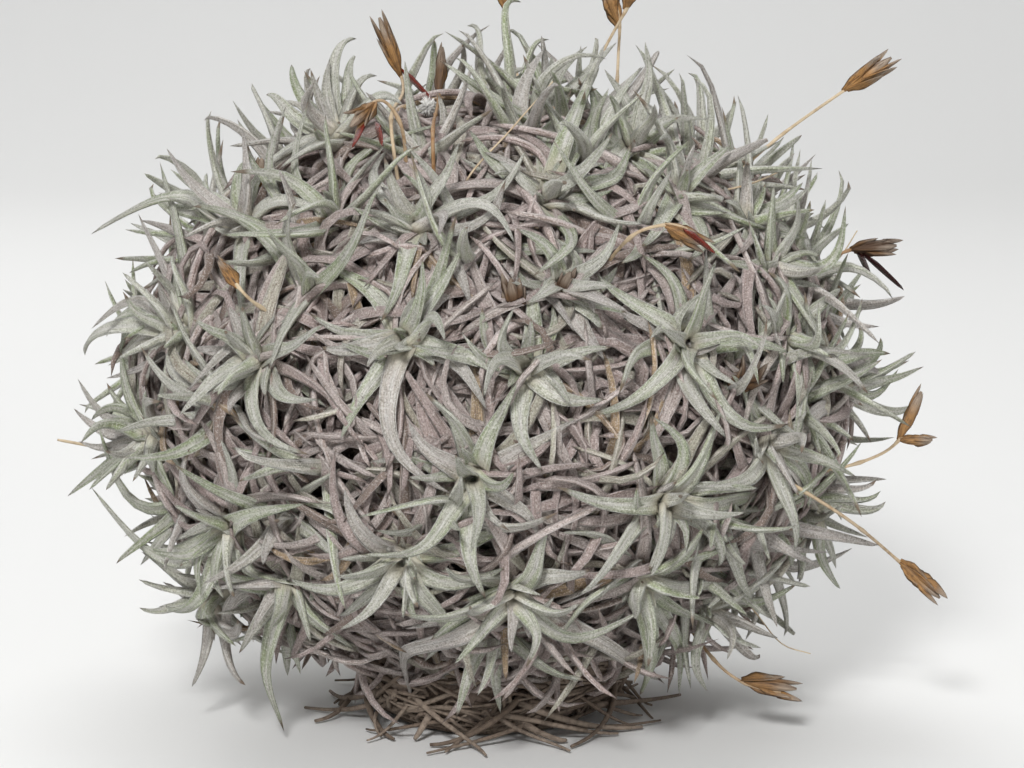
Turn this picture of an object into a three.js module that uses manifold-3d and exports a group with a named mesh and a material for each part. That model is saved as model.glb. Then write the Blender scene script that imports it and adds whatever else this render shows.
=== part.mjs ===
// A clump of Tillandsia funebris: a globe of small grey rosettes on a thatch of dry curled leaves.
// Millimetres, +Z up. The origin is the middle of the flat spot that the clump rests on, and -Y is its front.
import * as THREE from "three";
import { mergeVertices } from "three/addons/utils/BufferGeometryUtils.js";
import Module from "manifold-3d";

const wasm = await Module();
wasm.setup();

// The clump's body is an egg of thatch. A shell of 1 is its surface, and other shells are that egg scaled.
const MIDDLE = new THREE.Vector3(0, 0, 72);
const HALF = new THREE.Vector3(68, 62, 56);
const GROUND_GAP = 0.9;
const UP = new THREE.Vector3(0, 0, 1);

// The clump as seen from the front: places below are on the upright plane through its middle.
const EYE_DISTANCE = 750;
const EYE_RISE = THREE.MathUtils.degToRad(9);

// Clear space between neighbours, and the slivers that joins and cuts leave.
const GAP = 0.35;
const SLIVER = 0.05;

// Living leaves. Lengths along a leaf run from 0 at its foot to 1 at its tip.
const LEAF_WIDTH = [5.2, 6.6];
const LEAF_THICKNESS = [1.2, 0.7];
const LEAF_RINGS = [0.34, 0.68];
const LEAF_TAPER = 0.8;
const LEAF_BASE = 0.5;
const LEAF_BELLY = 0.35;
const LEAF_FOOT = 0.22;
const LEAF_FLOOR = 1.02;
const GUTTER = 0.17;
const LONG_LEAVES = 8;
const LONG_REACH = [18, 27];
const SHORT_WIDTH = [4.4, 5.2];
const SHORT_LENGTH = [13, 19];
const GOLDEN_ANGLE = Math.PI * (3 - Math.sqrt(5));

// A rosette's stem, with staggered rows of points up it: heights over its heart, radii, and how leaves lean.
const ROW_HEIGHTS = [-1.8, 0, 1.7, 3.3, 4.8];
const ROW_RADII = [2.5, 3, 2.7, 2, 1.1];
const ROW_POINTS = LONG_LEAVES / 2;
const LEANS = [68, 50, 26];
const STEM_RADIUS = 1.8;
const STEM_FOOT = 0.84;
const ROSETTE_SHELL = 1.045;
const REAR_ROSETTES = 15;
const REAR_SPACING = 25;
const LOWEST_ROSETTE = 24;

// The old growth: a lumpy middle under a thatch of dry leaves in layers.
const CORE_SHELL = 0.9;
const CORE_LUMP = 0.015;
const CORE_DETAIL = 3;
const DRY_LEAVES = 134;
const DRY_LENGTH = [26, 36];
const DRY_WIDTH = [5, 6.6];
const DRY_HEIGHT = 1.5;
const DRY_LEVELS = [0.935, 0.96, 0.985];

// More dry leaves hang round the mat in an inner and an outer ring: [radius, height] of foot, belly and tip.
const HANGING_LEAVES = 32;
const HANGING_RINGS = [
  [[38, 36], [44, 22], [44, 9]],
  [[29, 31], [33, 15], [34, 5]],
];
const HANGING_SWEEP = 11;

// The mat of old stem bases and wiry roots under the clump.
const MAT_PROFILE = [[19, 0], [25, 4], [28, 12], [27, 19], [16, 25]];
const MAT_SIDES = 16;
const MAT_LUMP = 0.05;
const ROOTS = 13;
const ROOT_RADIUS = [1.3, 0.7];

// Dry flower stalks and their seed capsules.
const STALK_RADIUS = [0.6, 0.45];
const STALK_SIDES = 4;
const STALK_STEP = 7;
const STALK_FOOT = 0.82;
const STALK_MOUTH = 0.97;
const STALK_SHELL = 1.12;

// Seed heads: [share of the head's length, radius]. Each side of the widest band carries a spread bract.
const HEAD_LENGTH = 14;
const HEAD_RINGS = [[0.12, 1.2], [0.34, 1.9], [0.62, 1.5], [0.82, 0.8]];
const BRACT_BAND = 1;
const BRACT_REACH = [2.6, 4];
const TWIG_FOOT = 1.5;
const TWIG_SIDE = 1;
const HEAD_PAD = 3.2;
const WIRE_PAD = 1.2;

// Rosettes seen from the front: where each one sits, and where the tips of its long leaves reach.
const FRONT_ROSETTES = [
  { at: [-32, 51], tips: [[-34, 71], [-30, 70], [-46, 67], [-44, 62], [-50, 56], [-54, 45]] },
  { at: [0, 60], tips: [[-5, 77], [2, 76], [6, 79], [13, 79], [20, 66], [25, 62], [-11, 70]] },
  { at: [12, 38], tips: [[19, 62], [26, 61], [-6, 53], [2, 48], [22, 47], [32, 51]] },
  { at: [30, 48], tips: [[29, 64], [33, 61], [22, 57], [38, 58], [41, 52]] },
  { at: [39, 38], tips: [[35, 61], [40, 57], [44, 55], [30, 46], [50, 44]] },
  { at: [53, 33], tips: [[63, 37], [59, 46], [57, 41], [45, 48], [49, 45]] },
  { at: [-51, 32], tips: [[-79, 37], [-71, 42], [-59, 47], [-56, 45], [-51, 47], [-43, 46]] },
  { at: [-64, 11], tips: [[-79, 23], [-73, 26], [-67, 28], [-78, 12], [-81, 8], [-84, 4]] },
  { at: [-48, 5], tips: [[-68, -3], [-62, 10], [-53, 18], [-59, -8], [-41, 14]] },
  { at: [-70, -11], tips: [[-88, -3], [-81, -16], [-79, -21], [-72, 1], [-82, -9]] },
  { at: [-54, -29], tips: [[-83, -29], [-71, -46], [-52, -45], [-67, -14], [-57, -12]] },
  { at: [-42, -41], tips: [[-51, -71], [-61, -50], [-62, -22], [-49, -22], [-40, -55], [-28, -30]] },
  { at: [-58, -46], tips: [[-74, -47], [-71, -58], [-61, -62], [-52, -65], [-75, -36]] },
  { at: [-15, 32], tips: [[9, 46], [-30, 41], [-21, 45], [-16, 52], [-28, 30]] },
  { at: [-17, 9], tips: [[-41, 23], [-12, 31], [-2, 36], [-36, 6], [-12, -26, -9]] },
  { at: [8, 3], tips: [[-16, -1], [26, 10], [2, 18], [-11, -9], [24, -4]] },
  { at: [-3, -19], tips: [[-17, -8], [13, -4], [20, -11], [-3, -46, 4], [-24, -14]] },
  { at: [-18, -36], tips: [[-41, -23], [-29, -22], [5, -21], [-12, -50], [-10, -60, 6], [-41, -34]] },
  { at: [37, -24], tips: [[32, -9], [58, -36], [58, -23], [14, -25], [33, -40]] },
  { at: [5, -43], tips: [[-14, -69, 7], [23, -41], [32, -66, -5], [7, -30], [-17, -45]] },
  { at: [31, -40], tips: [[51, -28], [45, -65, 4], [29, -68], [15, -52], [24, -27]] },
  { at: [41, 8], tips: [[24, 10], [64, 9], [38, 30], [48, 20], [21, -4], [59, -16, -4]] },
  { at: [15, 20], tips: [[1, 25], [7, 32], [27, 27], [29, 16]] },
  { at: [58, 24], tips: [[65, 35], [72, 34], [70, 30], [50, 27], [58, 40]] },
  { at: [62, 9], tips: [[75, 21], [71, 15], [60, 24], [76, 7]] },
  { at: [73, -2], tips: [[87, 2], [86, -2], [94, -9, 4], [79, 13], [84, 10]] },
  { at: [58, -12], tips: [[78, -15], [74, -18], [67, -1], [71, -10], [52, 2]] },
  { at: [67, -26], tips: [[83, -21], [85, -25], [78, -37], [76, -41], [66, -42]] },
  { at: [45, -46], tips: [[65, -44], [61, -58], [57, -59], [54, -63], [45, -67]] },
];

// Flower stalks seen from the front: the way of each wire to the tip of its head, and how far back it stands.
const STALKS = [
  { way: [[45, 37], [62, 53], [76, 63], [89, 72]] },
  { way: [[58, 17], [70, 25], [78, 29], [90, 30]] },
  { way: [[57, -15], [74, -27, 1.25], [89, -39], [99, -48]] },
  { way: [[70, -23], [82, -16], [88, -12], [94, 1]], side: [97, -12] },
  { way: [[45, -54], [51, -62], [60, -66], [69, -66]] },
  { way: [[27, 27], [33, 33, 1.3], [41, 34, 1.34], [49, 29, 1.34]] },
  { way: [[-21, 43], [-21, 55, 1.2], [-20, 66], [-24, 78]] },
  { way: [[-13, 43], [-12, 52, 1.2], [-11, 62], [-10, 75]] },
  { way: [[-20, 47], [-19, 56, 1.25], [-23, 61, 1.35], [-31, 54, 1.38]] },
  { way: [[-48, 14], [-51, 18, 1.2], [-53, 20, 1.24], [-59, 28, 1.26]] },
  { way: [[17, 50], [24, 70], [31, 83], [35, 93]], back: 7 },
  { way: [[27, 48], [28, 70], [28, 80], [24, 90]], back: 13 },
  { way: [[10, 50], [5, 68], [3, 83], [2, 93]], back: 27 },
  { way: [[-62, -20], [-76, -15], [-93, -12]], bare: true },
];

const FOLIAGE = new THREE.MeshStandardMaterial({ color: 0x9aa392, roughness: 0.85, metalness: 0 });
const THATCH = new THREE.MeshStandardMaterial({ color: 0x948781, roughness: 0.95, metalness: 0 });
const ROOT_FIBRE = new THREE.MeshStandardMaterial({ color: 0x5f4a3a, roughness: 0.95, metalness: 0 });
const STRAW = new THREE.MeshStandardMaterial({ color: 0xa87f4c, roughness: 0.7, metalness: 0 });

// A drawer gives numbers between two bounds, the same ones for the same seed.
function drawer(seed) {
  let state = seed * 7919 + 101;
  const draw = (low, high) => {
    state = (state * 48271) % 2147483647;
    return low + ((high - low) * state) / 2147483647;
  };
  draw(0, 1);
  draw(0, 1);
  return draw;
}

// The shell on which a point lies.
function shellOf(point) {
  return point.clone().sub(MIDDLE).divide(HALF).length();
}

// The point of a shell that lies over or under a point.
function onShell(point, shell) {
  return point.clone().sub(MIDDLE).multiplyScalar(shell / shellOf(point)).add(MIDDLE);
}

// The direction straight out of the clump at a point.
function outwardAt(point) {
  return point.clone().sub(MIDDLE).divide(HALF).divide(HALF).normalize();
}

// The point of a shell that lies at (right, up) for the eye, or the nearest to it where the sight line misses.
function seen(right, up, shell) {
  const eye = new THREE.Vector3(0, -Math.cos(EYE_RISE), Math.sin(EYE_RISE)).multiplyScalar(EYE_DISTANCE);
  const place = new THREE.Vector3(right, up * Math.sin(EYE_RISE), up * Math.cos(EYE_RISE));
  const way = place.sub(eye);
  const from = eye.clone().divide(HALF);
  const along = way.clone().divide(HALF);
  const a = along.dot(along);
  const b = from.dot(along);
  const c = from.dot(from) - shell * shell;
  const reach = (-b - Math.sqrt(Math.max(0, b * b - a * c))) / a;
  return eye.addScaledVector(way, reach).add(MIDDLE);
}

// The four sides of a blade between two rings of four corners: keel, right edge, channel, left edge.
// The edges carry the diagonals of both faces, so the faces of a waved blade never cross.
function bladeSides(low, high) {
  return low.flatMap((a, j) => {
    const next = (j + 1) % low.length;
    const [b, c, d] = [low[next], high[next], high[j]];
    return j % 2 ? [[a, b, c], [a, c, d]] : [[a, b, d], [b, c, d]];
  });
}

// A fan of faces from the end of a ring to a tip.
function tipSides(ring, tip) {
  return ring.map((a, j) => [a, ring[(j + 1) % ring.length], tip]);
}

// A closed solid from its points and the faces between them.
function skin(points, faces) {
  return new wasm.Manifold(
    new wasm.Mesh({
      numProp: 3,
      vertProperties: new Float32Array(points.flatMap((p) => [p.x, p.y, p.z])),
      triVerts: new Uint32Array(faces.flat()),
    }),
  );
}

// A closed solid through rings of points, which ends in a point where a tip is given.
function loft(rings, tip) {
  const sides = rings[0].length;
  const points = rings.flat();
  const corners = rings.map((ring, i) => ring.map((_, j) => i * sides + j));
  const faces = [];
  for (let j = 2; j < sides; j++) faces.push([0, j, j - 1]);
  for (let i = 1; i < rings.length; i++) faces.push(...bladeSides(corners[i - 1], corners[i]));
  const last = corners[rings.length - 1];
  if (tip) faces.push(...tipSides(last, points.push(tip) - 1));
  else for (let j = 2; j < sides; j++) faces.push([last[0], last[j - 1], last[j]]);
  return skin(points, faces);
}

// The corners of a regular ring round a centre.
function ring(centre, across, up, sides, radius) {
  return Array.from({ length: sides }, (_, j) => {
    const turn = (2 * Math.PI * j) / sides;
    return centre
      .clone()
      .addScaledVector(across, radius * Math.cos(turn))
      .addScaledVector(up, radius * Math.sin(turn));
  });
}

// A tube with few sides along a curve, thinner or thicker towards its end.
function tube(curve, steps, startRadius, endRadius, sides) {
  const rough = curve.getPoint(1).sub(curve.getPoint(0));
  const side = new THREE.Vector3(0.31, 0.53, 0.79).cross(rough).normalize();
  const rings = [];
  for (let i = 0; i <= steps; i++) {
    const up = curve.getTangent(i / steps).cross(side).normalize();
    const across = up.clone().cross(curve.getTangent(i / steps));
    const radius = startRadius + ((endRadius - startRadius) * i) / steps;
    rings.push(ring(curve.getPoint(i / steps), across, up, sides, radius));
  }
  return loft(rings);
}

// A leaf's centreline: it leaves its foot along one direction and arrives at its tip along another.
function centreline({ root, tip, start, end, side, bow }) {
  const handle = tip.distanceTo(root) * 0.36;
  const first = root.clone().addScaledVector(start, handle).addScaledVector(side, bow * 0.6);
  const second = tip.clone().addScaledVector(end, -handle).addScaledVector(side, bow);
  return new THREE.CubicBezierCurve3(root, first, second, tip);
}

// A leaf's own directions at a place along its centreline.
function leafFrame(leaf, curve, t) {
  const along = curve.getTangent(t);
  const across = leaf.side.clone().addScaledVector(along, -leaf.side.dot(along)).normalize();
  return { centre: curve.getPoint(t), across, up: along.clone().cross(across) };
}

// A leaf is narrow where it leaves the stem, widest at its belly, and tapers from there.
function leafWidth(leaf, t) {
  const swell = LEAF_BASE + (1 - LEAF_BASE) * THREE.MathUtils.smoothstep(t, 0, LEAF_BELLY);
  return leaf.width * swell * Math.pow(1 - t, LEAF_TAPER);
}

// The keel, right edge, channel and left edge of a leaf.
function leafCorners(leaf, curve, t) {
  const { centre, across, up } = leafFrame(leaf, curve, t);
  const width = leafWidth(leaf, t);
  const half = THREE.MathUtils.lerp(LEAF_THICKNESS[0], LEAF_THICKNESS[1], t) / 2;
  const corner = (x, y) => centre.clone().addScaledVector(across, x).addScaledVector(up, y);
  return [
    corner(0, -half),
    corner(width / 2, GUTTER * width),
    corner(0, half),
    corner(-width / 2, GUTTER * width),
  ];
}

// Padded points over a leaf's face, for keeping it clear of its neighbours.
const LEAF_PAD = 0.72;
const STATION = 1.7;
function leafPoints(leaf) {
  const curve = centreline(leaf);
  const stations = Math.ceil(leaf.root.distanceTo(leaf.tip) / STATION) + 1;
  const points = [];
  for (let i = 0; i <= stations; i++) {
    const t = i / stations;
    const { centre, across, up } = leafFrame(leaf, curve, t);
    const width = leafWidth(leaf, t);
    for (const share of [-1, -0.5, 0, 0.5, 1]) {
      const point = centre.clone().addScaledVector(across, (share * width) / 2);
      point.addScaledVector(up, Math.abs(share) * GUTTER * width);
      points.push({ point, pad: LEAF_PAD, free: t > LEAF_FOOT });
    }
  }
  return points;
}

// What is already in place, as padded points with the name of their owner and a ball round them all.
const placed = [];
function keep(owner, points) {
  placed.push({ owner, points, ball: new THREE.Sphere().setFromPoints(points.map((p) => p.point)) });
}

// Whether points stay clear of everything in place. Leaves of one rosette may meet at their feet.
const BALL_PAD = 4;
function isClear(owner, points) {
  const ball = new THREE.Sphere().setFromPoints(points.map((p) => p.point));
  return placed.every((other) => {
    const apart = ball.center.distanceTo(other.ball.center) - ball.radius - other.ball.radius;
    if (apart > BALL_PAD) return true;
    const own = other.owner === owner;
    return points.every((p) =>
      other.points.every(
        (q) => (own && !(p.free && q.free)) || p.point.distanceTo(q.point) > p.pad + q.pad + GAP,
      ),
    );
  });
}

// Whether a leaf stays over the thatch and off the ground, apart from its foot.
function isOverThatch(points) {
  return points.every(({ point, free }) => point.z > GROUND_GAP && (!free || shellOf(point) > LEAF_FLOOR));
}

// Ways round a neighbour, from the smallest change: [lift in mm, swing in degrees, share of the length].
const WAYS_ROUND = [];
for (const share of [1, 0.82, 0.64]) {
  for (const lift of [0, 1.6, 3.2, 5, 7]) {
    for (const swing of [0, 7, -7, 14, -14, 22, -22]) WAYS_ROUND.push([lift, swing, share]);
  }
}
const effort = ([lift, swing, share]) => lift / 1.6 + Math.abs(swing) / 7 + (1 - share) * 30 + (swing < 0) * 0.1;
WAYS_ROUND.sort((a, b) => effort(a) - effort(b));

// A leaf bent round its neighbours by the smallest change that clears them, or nothing where none does.
function fitted(owner, axis, root, tip, { lean, droop, bow, width }) {
  const leanBy = THREE.MathUtils.degToRad(lean);
  const droopBy = THREE.MathUtils.degToRad(droop);
  for (const [lift, swing, share] of WAYS_ROUND) {
    const moved = tip.clone().sub(root).applyAxisAngle(axis, THREE.MathUtils.degToRad(swing));
    moved.multiplyScalar(share).add(root);
    moved.addScaledVector(outwardAt(moved), lift);
    const out = moved.clone().sub(root);
    out.addScaledVector(axis, -out.dot(axis)).normalize();
    const leaf = {
      root,
      tip: moved,
      side: axis.clone().cross(out),
      start: axis.clone().multiplyScalar(Math.cos(leanBy)).addScaledVector(out, Math.sin(leanBy)),
      end: out.clone().multiplyScalar(Math.cos(droopBy)).addScaledVector(axis, Math.sin(droopBy)),
      bow,
      width,
    };
    const points = leafPoints(leaf);
    if (isOverThatch(points) && isClear(owner, points)) {
      keep(owner, points);
      return leaf;
    }
  }
  return null;
}

// A rosette's own directions: out of the clump, and two across it that its leaves are counted from.
function facing(rosette) {
  rosette.axis = outwardAt(rosette.heart);
  rosette.first = rosette.axis.clone().cross(new THREE.Vector3(0.2, 0.3, 0.9)).normalize();
  rosette.second = rosette.axis.clone().cross(rosette.first);
  return rosette;
}

// The direction across a rosette at a turn round its axis, and the turn of a point round it.
function outAt({ first, second }, turn) {
  return first.clone().multiplyScalar(Math.cos(turn)).addScaledVector(second, Math.sin(turn));
}

function turnOf({ heart, first, second }, point) {
  const out = point.clone().sub(heart);
  return Math.atan2(out.dot(second), out.dot(first));
}

// New long leaves go in the widest gaps until the rosette has all of them, in order of their turns.
function filled(rosette) {
  const { heart, axis, long, draw } = rosette;
  for (const leaf of long) leaf.turn = turnOf(rosette, leaf.tip);
  long.sort((a, b) => a.turn - b.turn);
  while (long.length < LONG_LEAVES) {
    const gaps = long.map((leaf, j) => {
      const next = j + 1 < long.length ? long[j + 1].turn : long[0].turn + 2 * Math.PI;
      return next - leaf.turn;
    });
    const widest = gaps.indexOf(Math.max(...gaps));
    const turn = long[widest].turn + gaps[widest] / 2 + draw(-0.08, 0.08);
    const tip = heart.clone().addScaledVector(outAt(rosette, turn), draw(LONG_REACH[0], LONG_REACH[1]));
    tip.addScaledVector(axis, draw(-2, 7));
    long.splice(widest + 1, 0, { tip, turn, bow: draw(-4, 4) });
  }
  return rosette;
}

// Rosettes seen from the front have the places and the tips listed above.
const rosettes = FRONT_ROSETTES.map(({ at, tips }, i) => {
  const draw = drawer(i + 1);
  const heart = seen(at[0], at[1], ROSETTE_SHELL + draw(-0.01, 0.02));
  const long = tips.map(([right, up, bow]) => ({
    tip: seen(right, up, 1.13 + draw(-0.04, 0.09)),
    bow: bow ?? draw(-3, 3),
  }));
  return filled(facing({ heart, long, draw }));
});

// The rest are spread over the sides and the back, no nearer to each other than REAR_SPACING.
const SPREAD = 400;
const STRIDE = 89;
const ROSETTES = FRONT_ROSETTES.length + REAR_ROSETTES;
for (let i = 0; i < SPREAD && rosettes.length < ROSETTES; i++) {
  const step = (i * STRIDE) % SPREAD;
  const rise = 1 - (2 * step + 1) / SPREAD;
  const level = Math.sqrt(1 - rise * rise);
  const draw = drawer(rosettes.length + 1);
  const heart = new THREE.Vector3(level * Math.cos(step * GOLDEN_ANGLE), level * Math.sin(step * GOLDEN_ANGLE), rise)
    .multiplyScalar(ROSETTE_SHELL + draw(-0.01, 0.02))
    .multiply(HALF)
    .add(MIDDLE);
  const alone = rosettes.every((other) => other.heart.distanceTo(heart) > REAR_SPACING);
  if (!alone || heart.z < LOWEST_ROSETTE || heart.y < 0) continue;
  const rosette = facing({ heart, long: [], draw });
  const turn = draw(-3, 3);
  const tip = heart.clone().addScaledVector(outAt(rosette, turn), draw(LONG_REACH[0], LONG_REACH[1]));
  rosette.long.push({ tip, bow: draw(-4, 4) });
  rosettes.push(filled(rosette));
}

// Staggered rows of points up each stem. A row stands at the turns of the even leaves or of the odd ones.
for (const [i, rosette] of rosettes.entries()) {
  const { heart, axis, long } = rosette;
  rosette.name = "rosette_" + String(i + 1).padStart(2, "0");
  rosette.rows = ROW_HEIGHTS.map((height, r) =>
    long
      .filter((_, j) => j % 2 === r % 2)
      .map(({ turn }) =>
        heart.clone().addScaledVector(axis, height).addScaledVector(outAt(rosette, turn), ROW_RADII[r]),
      ),
  );
  const foot = onShell(heart, STEM_FOOT);
  rosette.stem = new THREE.LineCurve3(foot, heart);
  rosette.foot = rosette.rows[0].map((_, k) =>
    foot.clone().addScaledVector(outAt(rosette, long[2 * k].turn), STEM_RADIUS),
  );
  const top = heart.clone().addScaledVector(axis, ROW_HEIGHTS[4]);
  const posts = [0.2, 0.35, 0.5, 0.65, 0.8, 0.9, 1].map((t) => foot.clone().lerp(top, t));
  keep(rosette.name, posts.map((point) => ({ point, pad: ROW_RADII[1] })));
}

// The corners of a leaf's foot: a diamond of three rows, as places [row, point] in the rows.
function footOf(row, k) {
  const other = row % 2 ? k : (k + 1) % ROW_POINTS;
  const left = row % 2 ? (k + ROW_POINTS - 1) % ROW_POINTS : k;
  return [[row - 1, k], [row, other], [row + 1, k], [row, left]];
}

// Flower stalks: a wire that starts in the thatch, and a seed head along its last stretch.
const stalks = STALKS.map(({ way, side, back, bare }, i) => {
  const name = "seed_stalk_" + String(i + 1).padStart(2, "0");
  const placeOf = ([right, up, shell]) => {
    const point = seen(right, up, shell ?? STALK_SHELL);
    return point.setY(point.y + (back ?? 0));
  };
  const [start, ...rest] = way.map(placeOf);
  const curve = new THREE.CatmullRomCurve3([onShell(start, STALK_FOOT), onShell(start, STALK_MOUTH), ...rest]);
  const length = curve.getLength();
  const neck = bare ? 1 : 1 - HEAD_LENGTH / length;
  const sideTip = side && placeOf(side);
  const parts = Math.ceil(length / 2);
  const places = curve.getSpacedPoints(parts).map((point, j) => ({ point, pad: j / parts > neck ? HEAD_PAD : WIRE_PAD }));
  const twig = sideTip ? new THREE.LineCurve3(curve.getPointAt(neck), sideTip).getSpacedPoints(6) : [];
  keep(name, [...places, ...twig.map((point) => ({ point, pad: WIRE_PAD }))]);
  return { name, curve, length, neck, sideTip, bare };
});

// The mat's wiry roots run out over the ground.
const rootDraw = drawer(301);
const roots = Array.from({ length: ROOTS }, (_, i) => {
  const turn = ((i + rootDraw(-0.3, 0.3)) * 2 * Math.PI) / ROOTS;
  const out = new THREE.Vector3(Math.cos(turn), Math.sin(turn), 0);
  const round = new THREE.Vector3(-out.y, out.x, 0).multiplyScalar(rootDraw(-12, 12));
  const start = out.clone().multiplyScalar(21).setZ(rootDraw(3, 8));
  const over = out.clone().multiplyScalar(29).addScaledVector(round, 0.2).setZ(rootDraw(1.6, 5));
  const reach = out.clone().multiplyScalar(rootDraw(33, 43)).add(round).setZ(rootDraw(1, 2.4));
  return new THREE.CatmullRomCurve3([start, over, reach]);
});
const matRim = MAT_PROFILE.flatMap(([radius, height]) =>
  Array.from({ length: 36 }, (_, i) => new THREE.Vector3(radius, 0, height).applyAxisAngle(UP, i / 5.7)),
);
keep("root_mat", matRim.map((point) => ({ point, pad: 3 })));
for (const curve of roots) {
  keep("root_mat", curve.getPoints(12).map((point) => ({ point, pad: ROOT_RADIUS[0] })));
}

// Long leaves in two rows first, then the short ones that stand round each heart.
for (const rosette of rosettes) {
  const { name, axis, rows, long, draw } = rosette;
  rosette.leaves = long.map(({ tip, bow }, j) => {
    const row = 1 + (j % 2);
    const corners = footOf(row, Math.floor(j / 2));
    const root = corners.reduce((sum, [r, k]) => sum.addScaledVector(rows[r][k], 0.25), new THREE.Vector3());
    const shape = { lean: LEANS[row - 1] + draw(-6, 6), droop: draw(-38, 26), bow };
    shape.width = draw(LEAF_WIDTH[0], LEAF_WIDTH[1]);
    return { corners, rings: LEAF_RINGS, leaf: fitted(name, axis, root, tip, shape) };
  });
}
for (const rosette of rosettes) {
  const { name, axis, rows, long, draw } = rosette;
  for (let k = 0; k < ROW_POINTS; k++) {
    const corners = footOf(3, k);
    const root = corners.reduce((sum, [r, j]) => sum.addScaledVector(rows[r][j], 0.25), new THREE.Vector3());
    const open = THREE.MathUtils.degToRad(draw(26, 52));
    const length = draw(SHORT_LENGTH[0], SHORT_LENGTH[1]);
    const tip = root.clone().addScaledVector(axis, length * Math.cos(open));
    tip.addScaledVector(outAt(rosette, long[2 * k].turn), length * Math.sin(open));
    const shape = { lean: LEANS[2], droop: draw(20, 70), bow: draw(-2, 2) };
    shape.width = draw(SHORT_WIDTH[0], SHORT_WIDTH[1]);
    rosette.leaves.push({ corners, rings: [LEAF_RINGS[0]], leaf: fitted(name, axis, root, tip, shape) });
  }
}

// A rosette is one skin. Each diamond of its stem is a leaf's foot, and closes as a scale where no leaf grows.
function rosetteSolid({ rows, foot, leaves }) {
  const points = [...foot, ...rows.flat()];
  const at = ([row, k]) => (row + 1) * ROW_POINTS + (k % ROW_POINTS);
  const last = rows.length - 1;
  const faces = [];
  for (let k = 0; k < ROW_POINTS; k++) {
    faces.push([at([-1, k]), at([-1, k + 1]), at([0, k + 1])], [at([-1, k]), at([0, k + 1]), at([0, k])]);
    faces.push([at([0, k]), at([0, k + 1]), at([1, k])]);
    faces.push([at([last - 1, k]), at([last, k + 1]), at([last, k])]);
  }
  for (let k = 2; k < ROW_POINTS; k++) {
    faces.push([at([-1, 0]), at([-1, k]), at([-1, k - 1])]);
    faces.push([at([last, 0]), at([last, k - 1]), at([last, k])]);
  }
  for (const { corners, rings, leaf } of leaves) {
    let low = corners.map(at);
    if (!leaf) {
      faces.push([low[0], low[1], low[2]], [low[0], low[2], low[3]]);
      continue;
    }
    const curve = centreline(leaf);
    for (const t of rings) {
      const high = leafCorners(leaf, curve, t).map((corner) => points.push(corner) - 1);
      faces.push(...bladeSides(low, high));
      low = high;
    }
    faces.push(...tipSides(low, points.push(curve.getPoint(1)) - 1));
  }
  return skin(points, faces);
}

// The geometry of a solid.
function geometryOf(solid) {
  const { vertProperties, triVerts } = solid.getMesh();
  const geometry = new THREE.BufferGeometry();
  geometry.setAttribute("position", new THREE.BufferAttribute(vertProperties, 3));
  geometry.setIndex(new THREE.BufferAttribute(triVerts, 1));
  return geometry;
}

// A named mesh from a solid.
function meshOf(solid, name, material) {
  const mesh = new THREE.Mesh(geometryOf(solid), material);
  mesh.geometry.computeVertexNormals();
  mesh.name = name;
  return mesh;
}

// A closed solid from a three.js geometry, moved point by point.
function solidOf(geometry, move) {
  geometry.deleteAttribute("normal");
  geometry.deleteAttribute("uv");
  const merged = mergeVertices(geometry, 1e-3);
  const position = merged.getAttribute("position");
  const points = Array.from({ length: position.count }, (_, i) =>
    move(new THREE.Vector3().fromBufferAttribute(position, i)),
  );
  return skin(points, Array.from(merged.index.array));
}

// The largest body of a solid, without the scraps and the slivers that joins and cuts leave.
function largest(solid) {
  const bodies = solid.simplify(SLIVER).decompose();
  return bodies.reduce((a, b) => (a.volume() > b.volume() ? a : b));
}

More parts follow.
